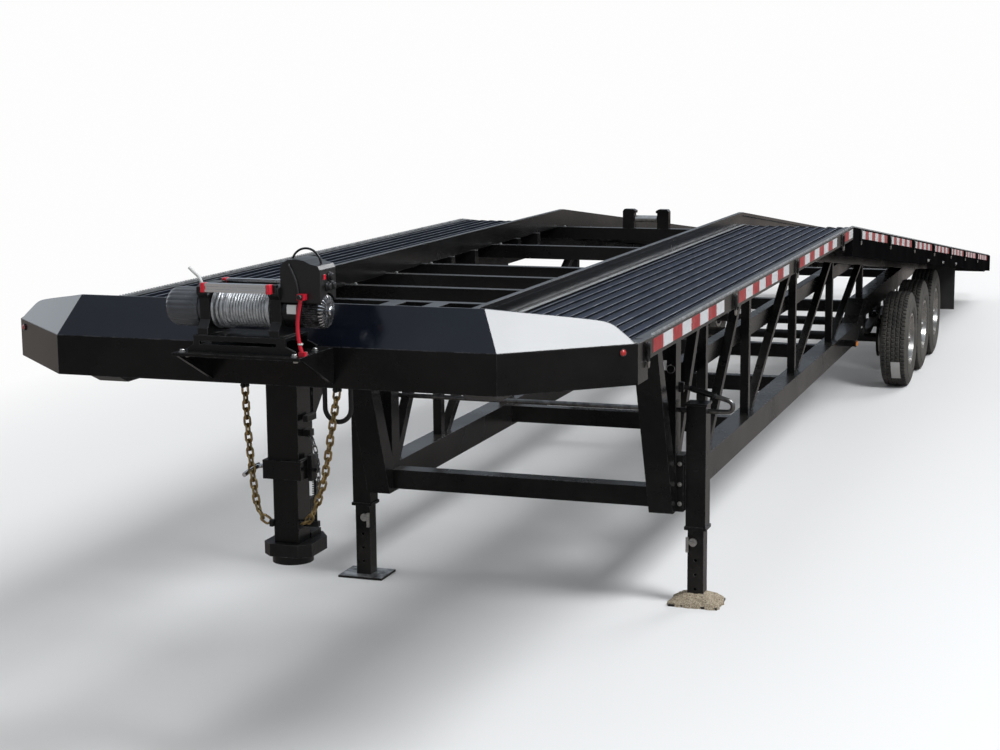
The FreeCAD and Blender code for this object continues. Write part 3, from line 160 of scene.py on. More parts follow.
def lathe(across, radius, sides, loop=False, phase=0.0):
    """Surface turned about X: (x, r) goes to (x, r cos t, r sin t), where x and r may change with t.

    An open profile is closed by a flat pole at each end; a loop joins its last ring to its first.
    """
    turn = phase + angles(sides)
    across, radius = (np.asarray(values, float) for values in (across, radius))
    across, radius = (np.broadcast_to(values if values.ndim == 2 else values[:, None], (len(values), sides))
                      for values in (across, radius))
    rings = np.stack([across, radius * np.cos(turn), radius * np.sin(turn)], -1)
    if loop:
        return stacked(rings, True)
    rows = len(rings)
    last = (rows - 1) * sides
    column = np.arange(sides)
    following = (column + 1) % sides
    low, high = np.full(sides, rows * sides), np.full(sides, rows * sides + 1)
    faces = [grid_faces(rows, sides, False, True), np.stack([low, following, column], 1),
             np.stack([high, last + column, last + following], 1)]
    poles = [[across[0].mean(), 0.0, 0.0], [across[-1].mean(), 0.0, 0.0]]
    points = np.concatenate([rings.reshape(-1, 3), poles])
    return points, outward(points, faces)


def swept(path, profile, reference, loop=False):
    """Profile carried along a path: c(s) + a u(s) + b v(s), with u across the path and the reference."""
    path, profile = np.asarray(path, float), np.asarray(profile, float)
    ahead = np.roll(path, -1, 0) - np.roll(path, 1, 0) if loop else np.gradient(path, axis=0)
    ahead /= np.linalg.norm(ahead, axis=1, keepdims=True)
    side = np.cross(ahead, np.broadcast_to(reference, path.shape))
    side /= np.linalg.norm(side, axis=1, keepdims=True)
    above = np.cross(side, ahead)
    return stacked(path[:, None] + profile[..., :1] * side[:, None] + profile[..., 1:] * above[:, None], loop)


def curve_through(points, count):
    """Even points of a Catmull-Rom curve through points p, each slope m half its neighbours' difference.

    Each piece is (2t3 - 3t2 + 1) p0 + (t3 - 2t2 + t) m0 + (3t2 - 2t3) p1 + (t3 - t2) m1.
    """
    points = np.asarray(points, float)
    slopes = np.gradient(points, axis=0)
    place = np.linspace(0, len(points) - 1, 40 * len(points))
    start = np.minimum(place.astype(int), len(points) - 2)
    t = (place - start)[:, None]
    dense = ((2 * t ** 3 - 3 * t ** 2 + 1) * points[start] + (t ** 3 - 2 * t ** 2 + t) * slopes[start]
             + (3 * t ** 2 - 2 * t ** 3) * points[start + 1] + (t ** 3 - t ** 2) * slopes[start + 1])
    run = np.concatenate([[0], np.cumsum(np.linalg.norm(np.diff(dense, axis=0), axis=1))])
    even = np.linspace(0, run[-1], count)
    return np.stack([np.interp(even, run, dense[:, axis]) for axis in range(dense.shape[1])], 1)


def cuboid(low, high, bevel=0.0):
    """Block between two corners, its four upright edges cut back by the bevel."""
    (x0, y0, z0), (x1, y1, z1) = low, high
    ring = [(x0, y0), (x1, y0), (x1, y1), (x0, y1)]
    if bevel:
        ring = [(x0 + bevel, y0), (x1 - bevel, y0), (x1, y0 + bevel), (x1, y1 - bevel),
                (x1 - bevel, y1), (x0 + bevel, y1), (x0, y1 - bevel), (x0, y0 + bevel)]
    return stacked(np.array([[(x, y, z) for x, y in ring] for z in (z0, z1)]))


def strips(x_in, x_out, start, end, top, bottom):
    """Flat bars along the deck, from each start to each end, top and bottom a set way below the deck."""
    start, end = np.asarray(start, float), np.asarray(end, float)
    corners = [np.stack([np.full(y.shape, x), y + FACE_Y, deck_height(y) - drop], -1) for y in (start, end)
               for x, drop in ((x_in, bottom), (x_out, bottom), (x_out, top), (x_in, top))]
    quads = np.array([(0, 1, 2, 3), (7, 6, 5, 4), (0, 4, 5, 1), (1, 5, 6, 2), (2, 6, 7, 3), (3, 7, 4, 0)])
    faces = [(quads[None] + 8 * np.arange(len(start))[:, None, None]).reshape(-1, 4)]
    points = np.stack(corners, 1).reshape(-1, 3)
    return points, outward(points, faces)


def facing(directions):
    """Matrices that turn +X to each direction, their other axes level where they can be."""
    ahead = np.asarray(directions, float)
    ahead = ahead / np.linalg.norm(ahead, axis=1, keepdims=True)
    upright = np.abs(ahead[:, 2:]) > 0.9
    side = np.cross(np.where(upright, [BACK], [UP]), ahead)
    side /= np.linalg.norm(side, axis=1, keepdims=True)
    return np.stack([ahead, side, np.cross(ahead, side)], 2)


def repeated(shape, places, turns):
    """One shape many times: each point p becomes R p + c for every turn R and place c."""
    points, faces = shape
    places = np.asarray(places, float)
    made = np.einsum("nij,pj->npi", turns, points) + places[:, None]
    first = np.arange(len(places))[:, None, None] * len(points)
    return made.reshape(-1, 3), [(block[None] + first).reshape(-1, block.shape[1]) for block in faces]


def set_along(shape, places, way, scale=1.0):
    """One shape at each of the places, its +X turned one way and its own axes scaled."""
    return repeated(shape, places, facing([way] * len(places)) * scale)


def merged(shapes):
    """Several shapes as one: points follow each other, and each shape's corners are counted on."""
    points, faces, count = [], [], 0
    for shape_points, shape_faces in shapes:
        points.append(shape_points)
        faces += [block + count for block in shape_faces]
        count += len(shape_points)
    return np.concatenate(points), faces


def moved(shape, by):
    """A shape carried along by a vector."""
    return shape[0] + np.asarray(by, float), shape[1]


def chain(hang, pitch, straight, bend, bar, corners, sides):
    """Links of round bar down a hang, every second one a quarter turned.

    A link's middle line is (s sign(sin t) + a sin t, b cos t, 0), with s its straight half and a, b its bend.
    """
    turn = angles(corners)
    line = np.stack([straight * np.sign(np.sin(turn)) + bend[0] * np.sin(turn), bend[1] * np.cos(turn),
                     np.zeros(corners)], 1)
    link = swept(line, circle(bar, sides), UP, loop=True)
    length = np.linalg.norm(np.diff(curve_through(hang, 400), axis=0), axis=1).sum()
    joints = curve_through(hang, round(length / pitch) + 1)
    turns = facing(np.diff(joints, axis=0))
    turns[1::2] = turns[1::2][:, :, [0, 2, 1]] * (1.0, 1.0, -1.0)
    return repeated(link, (joints[1:] + joints[:-1]) / 2, turns)


def new_piece(name, shape, look, body=BODY, smooth=30.0, replaces=(), bevel=0.0):
    """Mesh object from a shape, riding on a body; edges sharper than the smooth angle stay sharp."""
    points, faces = shape
    mesh = bpy.data.meshes.new(name)
    mesh.vertices.add(len(points))
    mesh.vertices.foreach_set("co", np.asarray(points, dtype=np.float32).ravel())
    corners = np.concatenate([block.astype(np.int32).ravel() for block in faces])
    sizes = np.concatenate([np.full(len(block), block.shape[1], np.int32) for block in faces])
    mesh.loops.add(len(corners))
    mesh.loops.foreach_set("vertex_index", corners)
    mesh.polygons.add(len(sizes))
    mesh.polygons.foreach_set("loop_start", np.concatenate([[0], np.cumsum(sizes)[:-1]]).astype(np.int32))
    mesh.update(calc_edges=True)
    mesh.validate()
    mesh.shade_smooth()
    mesh.set_sharp_from_angle(angle=math.radians(smooth))
    mesh.materials.append(finish(look))
    piece = bpy.data.objects.new(name, mesh)
    bpy.context.scene.collection.objects.link(piece)
    if bevel:
        edge = piece.modifiers.new("soft_edges", "BEVEL")
        edge.width = bevel
        edge.segments = 2
        edge.limit_method = "ANGLE"
        edge.angle_limit = math.radians(40.0)
    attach(piece, body)
    if replaces:
        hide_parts(*replaces)
    return piece


# Nodes

def add_node(tree, kind, **inputs):
    """New shader node with values set on its input sockets by name, spaces written as underscores."""
    node = tree.nodes.new(kind)
    for name, value in inputs.items():
        node.inputs[name.replace("_", " ")].default_value = value
    return node


def give(tree, socket, value):
    """Links a socket to an input, or sets a plain number or colour on it."""
    if isinstance(value, bpy.types.NodeSocket):
        tree.links.new(value, socket)
    else:
        socket.default_value = (*value, 1.0) if isinstance(value, tuple) else value


def math_node(tree, operation, first, second=None, clamp=False):
    """Math node on sockets or plain numbers; gives its output socket."""
    node = tree.nodes.new("ShaderNodeMath")
    node.operation = operation
    node.use_clamp = clamp
    give(tree, node.inputs[0], first)
    if second is not None:
        give(tree, node.inputs[1], second)
    return node.outputs[0]


def product(tree, *values):
    """Product of several sockets or numbers."""
    result = values[0]
    for value in values[1:]:
        result = math_node(tree, "MULTIPLY", result, value)
    return result


def spread(tree, value, low, high, out_low=0.0, out_high=1.0):
    """Map Range node from low..high to out_low..out_high, clamped."""
    node = add_node(tree, "ShaderNodeMapRange", From_Min=low, From_Max=high, To_Min=out_low, To_Max=out_high)
    tree.links.new(value, node.inputs["Value"])
    return node.outputs["Result"]


def blended(tree, factor, first, second):
    """Colour mix of two colours or sockets by a factor."""
    node = tree.nodes.new("ShaderNodeMix")
    node.data_type = "RGBA"
    tree.links.new(factor, node.inputs["Factor"])
    give(tree, node.inputs[6], first)
    give(tree, node.inputs[7], second)
    return node.outputs[2]


def shaded(colour, factor):
    """A colour with each channel multiplied by a factor."""
    return tuple(channel * factor for channel in colour)


def coordinates(tree, kind="Object"):
    """Object coordinates, which are the trailer's own metres, or with "Normal" the object's own normal."""
    return tree.nodes.new("ShaderNodeTexCoord").outputs[kind]


def parts_of(tree, vector):
    """X, Y and Z of a vector socket."""
    node = tree.nodes.new("ShaderNodeSeparateXYZ")
    tree.links.new(vector, node.inputs[0])
    return node.outputs


def noise(tree, vector, scale, detail=3.0, roughness=0.55):
    """Noise value read from a vector socket; its scale may be a socket."""
    node = add_node(tree, "ShaderNodeTexNoise", Detail=detail, Roughness=roughness)
    give(tree, node.inputs["Scale"], scale)
    tree.links.new(vector, node.inputs["Vector"])
    return node.outputs["Fac"]


def group_tree(name, inputs, outputs):
    """Node group with named float sockets, its input and output nodes already in it."""
    tree = bpy.data.node_groups.new(name, "ShaderNodeTree")
    for socket, value in inputs:
        made = tree.interface.new_socket(socket, in_out="INPUT", socket_type="NodeSocketFloat")
        made.default_value = value
    for socket in outputs:
        tree.interface.new_socket(socket, in_out="OUTPUT", socket_type="NodeSocketFloat")
    return tree, tree.nodes.new("NodeGroupInput").outputs, tree.nodes.new("NodeGroupOutput").inputs


def settled_dust():
    """Mask of dust: it lies on faces that look up, in soft patches, and thickens near the ground."""
    tree, given, result = group_tree("settled_dust", (("Amount", 0.4), ("Scale", 3.0)), ("Mask",))
    vector = coordinates(tree)
    normal = parts_of(tree, tree.nodes.new("ShaderNodeNewGeometry").outputs["Normal"])
    upward = spread(tree, normal["Z"], 0.2, 1.0, 0.25, 1.0)
    low = spread(tree, parts_of(tree, vector)["Z"], 0.0, 1.3, 1.6, 0.8)
    patchy = spread(tree, noise(tree, vector, given["Scale"], 6.0, 0.68), 0.38, 0.72)
    mask = math_node(tree, "MULTIPLY", product(tree, upward, low, patchy), given["Amount"], clamp=True)
    tree.links.new(mask, result["Mask"])
    return tree


def rubbed_edges():
    """Mask of rubbed edges: where a rounded normal departs from the face's own, broken up by noise."""
    tree, given, result = group_tree("rubbed_edges", (("Amount", 0.5), ("Radius", 0.004)), ("Mask",))
    bevel = tree.nodes.new("ShaderNodeBevel")
    bevel.samples = 4
    tree.links.new(given["Radius"], bevel.inputs["Radius"])
    dot = tree.nodes.new("ShaderNodeVectorMath")
    dot.operation = "DOT_PRODUCT"
    tree.links.new(bevel.outputs["Normal"], dot.inputs[0])
    tree.links.new(tree.nodes.new("ShaderNodeNewGeometry").outputs["Normal"], dot.inputs[1])
    edge = spread(tree, dot.outputs["Value"], 0.995, 0.85)
    broken = spread(tree, noise(tree, coordinates(tree), 38.0, 5.0, 0.7), 0.42, 0.62)
    tree.links.new(product(tree, edge, broken, given["Amount"]), result["Mask"])
    return tree


def fine_grain():
    """Height and mask of a fine grain made of two noises of different scale."""
    tree, given, result = group_tree("fine_grain", (("Scale", 200.0), ("Coarse", 12.0)), ("Height", "Mask"))
    vector = coordinates(tree)
    tree.links.new(noise(tree, vector, given["Scale"], 2.0, 0.5), result["Height"])
    tree.links.new(noise(tree, vector, given["Coarse"], 5.0, 0.5), result["Mask"])
    return tree


def use_group(tree, maker, **values):
    """Places a shared node group, making it the first time it is asked for."""
    node = tree.nodes.new("ShaderNodeGroup")
    node.node_tree = bpy.data.node_groups.get(maker.__name__) or maker()
    for socket, value in values.items():
        node.inputs[socket].default_value = value
    return node.outputs


# Materials

def start_material(name, metallic=0.0, specular=0.5, coat=0.0):
    """Material with a Principled BSDF; constants stand on the shader's own sockets."""
    material = bpy.data.materials.new(f"{name}_finish")
    material.use_nodes = True
    shader = material.node_tree.nodes["Principled BSDF"]
    for socket, value in (("Metallic", metallic), ("Specular IOR Level", specular), ("Coat Weight", coat)):
        shader.inputs[socket].default_value = value
    return material, material.node_tree, shader


def shade(tree, shader, tone, rough, height, strength, distance, normal=None):
    """Joins a colour, a roughness and a bump, over a rounded normal where one is given, to the shader."""
    relief = add_node(tree, "ShaderNodeBump", Strength=strength, Distance=distance)
    tree.links.new(height, relief.inputs["Height"])
    if normal:
        tree.links.new(normal, relief.inputs["Normal"])
    for socket, value in (("Base Color", tone), ("Roughness", rough), ("Normal", relief.outputs["Normal"])):
        give(tree, shader.inputs[socket], value)


def paint_material(name, colour, roughness, dust, wear, specular, bump):
    """Paint: its colour drifts, dust dulls it, rubbed edges show grey, and its skin is slightly uneven."""
    material, tree, shader = start_material(name, specular=specular)
    grain = use_group(tree, fine_grain, Scale=90.0, Coarse=2.2)
    tone = blended(tree, spread(tree, grain["Mask"], 0.3, 0.7), shaded(colour, 0.7), shaded(colour, 1.35))
    worn = use_group(tree, rubbed_edges, Amount=wear, Radius=0.004)["Mask"]
    tone = blended(tree, worn, tone, (0.16, 0.16, 0.165))
    dusty = use_group(tree, settled_dust, Amount=dust, Scale=2.6)["Mask"]
    tone = blended(tree, dusty, tone, (0.21, 0.19, 0.165))
    uneven = spread(tree, grain["Mask"], 0.3, 0.7, roughness * 0.75, roughness * 1.3)
    rough = math_node(tree, "ADD", uneven, product(tree, dusty, 0.6), clamp=True)
    bevel = add_node(tree, "ShaderNodeBevel", Radius=0.003)
    bevel.samples = 4
    shade(tree, shader, tone, rough, grain["Height"], bump, 0.002, bevel.outputs["Normal"])
    return material


def deck_material(name):
    """Deck: blue-black with dust, a painted highlight line near each rib's middle, |x| = first + n pitch, and
    painted shade beside the ribs and on faces that are not level.
    """
    material, tree, shader = start_material(name, specular=0.02)
    grain = use_group(tree, fine_grain, Scale=140.0, Coarse=3.0)
    tone = blended(tree, spread(tree, grain["Mask"], 0.3, 0.7), (0.015, 0.0195, 0.032), (0.027, 0.034, 0.053))
    vector = coordinates(tree)
    across = math_node(tree, "SUBTRACT", math_node(tree, "ABSOLUTE", parts_of(tree, vector)["X"]), RIB_FIRST)
    away = math_node(tree, "PINGPONG", across, RIB_PITCH / 2)
    from_line = math_node(tree, "PINGPONG", math_node(tree, "SUBTRACT", across, HIGHLIGHT_LINE_OFFSET), RIB_PITCH / 2)
    level = spread(tree, parts_of(tree, coordinates(tree, "Normal"))["Z"], 0.4, 0.8)
    broken = spread(tree, noise(tree, vector, 7.0, 5.0, 0.65), 0.36, 0.62, 0.25, 1.0)
    # Painted highlight: a thin light line on level rib tops beside each rib's middle, broken up by noise.
    line = product(tree, spread(tree, from_line, 0.0042, 0.0024), level, broken)
    tone = blended(tree, line, tone, (0.25, 0.265, 0.29))
    # Painted shadow: near-black strips beside each rib, where the rib's shade falls.
    rib_shadow = product(tree, spread(tree, away, 0.009, 0.014, 1.0, 0.0), spread(tree, away, 0.0075, 0.009))
    tone = blended(tree, rib_shadow, tone, (0.001, 0.001, 0.0015))
    dusty = use_group(tree, settled_dust, Amount=0.08, Scale=2.6)["Mask"]
    tone = blended(tree, dusty, tone, (0.19, 0.18, 0.165))
    # Painted shade: faces that are not level, such as the ribs' sides, are darkened.
    tone = blended(tree, level, (0.008, 0.010, 0.015), tone)
    shade(tree, shader, tone, spread(tree, grain["Mask"], 0.3, 0.7, 0.45, 0.6), grain["Height"], 0.2, 0.002)
    return material


def metal_material(name, colour, roughness, grime, metallic, scale):
    """Bare or plated metal with uneven shine and dark grime."""
    material, tree, shader = start_material(name, metallic=metallic)
    grain = use_group(tree, fine_grain, Scale=scale * 6, Coarse=scale)
    tone = blended(tree, spread(tree, grain["Mask"], 0.35, 0.7), colour, shaded(colour, 1 - grime))
    rough = spread(tree, grain["Mask"], 0.3, 0.7, roughness * 0.8, roughness * 1.4)
    shade(tree, shader, tone, rough, grain["Height"], 0.1, 0.001)
    return material


def rubber_material(name, colour, roughness, dust, wall):
    """Rubber: dull, mottled, with settled dust and a pale tone on faces that look sideways, which is dust and
    partly painted sheen.
    """
    material, tree, shader = start_material(name, specular=0.35)
    grain = use_group(tree, fine_grain, Scale=320.0, Coarse=9.0)
    tone = blended(tree, spread(tree, grain["Mask"], 0.3, 0.7), colour, shaded(colour, 1.8))
    dusty = use_group(tree, settled_dust, Amount=dust, Scale=6.0)["Mask"]
    tone = blended(tree, dusty, tone, (0.17, 0.155, 0.135))
    # Pale tone on sideways faces: dust, and partly a painted sheen of polished rubber.
    if wall > 0.0:
        across = math_node(tree, "ABSOLUTE", parts_of(tree, coordinates(tree, "Normal"))["X"])
        patchy = spread(tree, grain["Mask"], 0.25, 0.7, wall * 0.5, wall)
        sideways_dust_and_sheen = product(tree, spread(tree, across, 0.55, 0.85), patchy)
        tone = blended(tree, sideways_dust_and_sheen, tone, (0.19, 0.175, 0.15))
    rough = spread(tree, grain["Mask"], 0.3, 0.7, roughness * 0.85, min(1.0, roughness * 1.15))
    shade(tree, shader, tone, rough, grain["Height"], 0.25, 0.001)
    return material


def lens_material(name, colour):
    """Coloured lens with moulded prisms: a fine grid of ridges, sin ky sin kz, under a clear gloss."""
    material, tree, shader = start_material(name, specular=0.6, coat=0.6)
    place = parts_of(tree, coordinates(tree))
    height = product(tree, *[math_node(tree, "SINE", product(tree, place[axis], 1100.0)) for axis in "YZ"])
    tone = blended(tree, spread(tree, height, -1.0, 1.0), shaded(colour, 0.6), colour)
    shade(tree, shader, tone, 0.2, height, 0.4, 0.001)
    return material


def tape_material(name, colour):
    """Reflective tape: fine slanting cells under clear film, scuffed and a little dusty."""
    material, tree, shader = start_material(name, specular=0.3, coat=0.1)
    place = parts_of(tree, coordinates(tree))
    slants = [math_node(tree, "ADD", place["Y"], product(tree, place["Z"], sign)) for sign in (1.0, -1.0)]
    slants = [math_node(tree, "SINE", product(tree, slant, 620.0)) for slant in slants]
    cells = spread(tree, math_node(tree, "MAXIMUM", *slants), 0.86, 0.99)
    tone = blended(tree, cells, colour, shaded(colour, 0.62))
    grain = use_group(tree, fine_grain, Scale=700.0, Coarse=14.0)
    tone = blended(tree, spread(tree, grain["Mask"], 0.5, 0.75, 0.0, 0.5), tone, shaded(colour, 0.7))
    dusty = use_group(tree, settled_dust, Amount=0.1, Scale=5.0)["Mask"]
    tone = blended(tree, dusty, tone, (0.24, 0.22, 0.19))
    shade(tree, shader, tone, spread(tree, grain["Mask"], 0.3, 0.7, 0.25, 0.5), cells, 0.08, 0.001)
    return material


def sand_material(name):
    """Coarse sand: pale and dark grains of a few millimetres, each with its own tone."""
    material, tree, shader = start_material(name, specular=0.2)
    vector = coordinates(tree)
    grains = add_node(tree, "ShaderNodeTexVoronoi", Scale=260.0)
    tree.links.new(vector, grains.inputs["Vector"])
    tone_of = tree.nodes.new("ShaderNodeSeparateColor")
    tree.links.new(grains.outputs["Color"], tone_of.inputs["Color"])
    tone = blended(tree, tone_of.outputs[0], (0.12, 0.085, 0.05), (0.62, 0.54, 0.42))
    patches = spread(tree, noise(tree, vector, 45.0, 4.0), 0.35, 0.65)
    tone = blended(tree, product(tree, patches, 0.5), tone, (0.33, 0.27, 0.19))
    rough = spread(tree, patches, 0.0, 1.0, 0.8, 0.95)
    shade(tree, shader, tone, rough, grains.outputs["Distance"], 1.0, 0.004)
    return material


LOOKS = (
    # maker, then each look's values in the order of the maker's own inputs
    (paint_material, {
        "frame_paint": ((0.0035, 0.0035, 0.0038), 0.22, 0.12, 0.45, 0.17, 0.05),
        # Fascia: strong rubbed edges, standing for scratches and partly for a painted highlight along its
        # edges.
        "fascia_paint": ((0.003, 0.0045, 0.009), 0.15, 0.05, 0.6, 0.36, 0.05),
        "rail_paint": ((0.003, 0.003, 0.0034), 0.5, 0.03, 0.2, 0.0, 0.05),
        "leg_paint": ((0.004, 0.004, 0.0042), 0.26, 0.3, 0.7, 0.17, 0.05),
        "cast_black": ((0.004, 0.004, 0.004), 0.4, 0.15, 0.5, 0.2, 0.5),
        "winch_black": ((0.005, 0.005, 0.0055), 0.3, 0.1, 0.5, 0.25, 0.3),
        "winch_plastic": ((0.007, 0.007, 0.0075), 0.3, 0.05, 0.1, 0.4, 0.05),
        "spring_steel": ((0.007, 0.0065, 0.0065), 0.45, 0.35, 0.5, 0.3, 0.05),
        "gear_grey": ((0.052, 0.055, 0.062), 0.28, 0.05, 0.1, 0.5, 0.05),
        "motor_black": ((0.005, 0.005, 0.0055), 0.25, 0.05, 1.0, 0.3, 0.05),
        "red_anodised": ((0.45, 0.008, 0.02), 0.25, 0.0, 0.1, 0.5, 0.05),
        "pale_plastic": ((0.55, 0.55, 0.54), 0.4, 0.1, 0.0, 0.5, 0.05),
        "paper_label": ((0.36, 0.35, 0.34), 0.6, 0.3, 0.0, 0.5, 0.05)}),
    (metal_material, {
        "wire_rope": ((0.52, 0.53, 0.54), 0.42, 0.4, 0.6, 60.0),
        "bare_steel": ((0.5, 0.49, 0.47), 0.35, 0.35, 1.0, 60.0),
        "wheel_silver": ((0.44, 0.43, 0.41), 0.25, 0.6, 0.85, 9.0),
        "gold_zinc": ((0.46, 0.33, 0.15), 0.3, 0.7, 1.0, 40.0),
        "grip_steel": ((0.42, 0.42, 0.42), 0.42, 0.5, 0.7, 30.0),
        "foot_strip": ((0.50, 0.52, 0.53), 0.35, 0.45, 0.5, 14.0),
        "bright_silver": ((0.72, 0.73, 0.75), 0.22, 0.1, 1.0, 6.0),
        "worn_steel": ((0.20, 0.195, 0.19), 0.3, 0.6, 1.0, 25.0),
        # Painted sheen for one foot's top: a pale plate.
        "sheen_plate": ((0.34, 0.34, 0.34), 0.4, 0.9, 0.6, 22.0)}),
    (rubber_material, {
        "flap_rubber": ((0.006, 0.006, 0.006), 0.6, 0.15, 0.0),
        "tyre_rubber": ((0.011, 0.011, 0.0105), 0.8, 0.55, 0.3),
        "red_lead": ((0.30, 0.006, 0.016), 0.38, 0.05, 0.0),
        "lead_grey": ((0.02, 0.02, 0.021), 0.4, 0.05, 0.0)}),
    (tape_material, {"tape_red": ((0.27, 0.003, 0.007),), "tape_white": ((0.50, 0.51, 0.52),)}),
    (lens_material, {"amber_lens": ((0.75, 0.22, 0.01),), "red_lens": ((0.45, 0.01, 0.008),)}),
    (deck_material, {"deck_plate": ()}),
    (sand_material, {"sand": ()}),
)
NODE_LOOKS = {"outer_rails_rear": "rail_paint", "jack_legs": "leg_paint"}


def finish(name):
    """The finish of a look, made once; its name differs from the frame's own plain material."""
    made = bpy.data.materials.get(f"{name}_finish")
    return made or next(maker(name, *looks[name]) for maker, looks in LOOKS if name in looks)


# Settings a user would change

class HaulerSizes(bpy.types.PropertyGroup):
    """Sizes of what is added to the trailer's frame."""

    groove_depth: bpy.props.FloatProperty(
        name="Groove depth", description="Depth of the tyres' tread grooves", default=0.013,
        min=0.0, max=0.02, unit="LENGTH")
    tread_pitch: bpy.props.IntProperty(
        name="Tread pitches", description="Tread blocks round a tyre", default=66, min=20, max=120)
    tape_block: bpy.props.FloatProperty(
        name="Tape block", description="Length of one red or white block of tape", default=0.1524,
        min=0.05, max=0.3, unit="LENGTH")
    tooth_pitch: bpy.props.FloatProperty(
        name="Tooth pitch", description="Distance between the grip strips' teeth", default=0.025,
        min=0.01, max=0.1, unit="LENGTH")
    rope_radius: bpy.props.FloatProperty(
        name="Rope radius", description="Radius of the winch's wire rope", default=0.0055,
        min=0.003, max=0.008, unit="LENGTH")
    floor_colour: bpy.props.FloatVectorProperty(
        name="Floor colour", description="Colour of the studio floor", default=(0.76, 0.76, 0.76),
        subtype="COLOR", min=0.0, max=1.0)


# Operators, one for each piece or group of like pieces

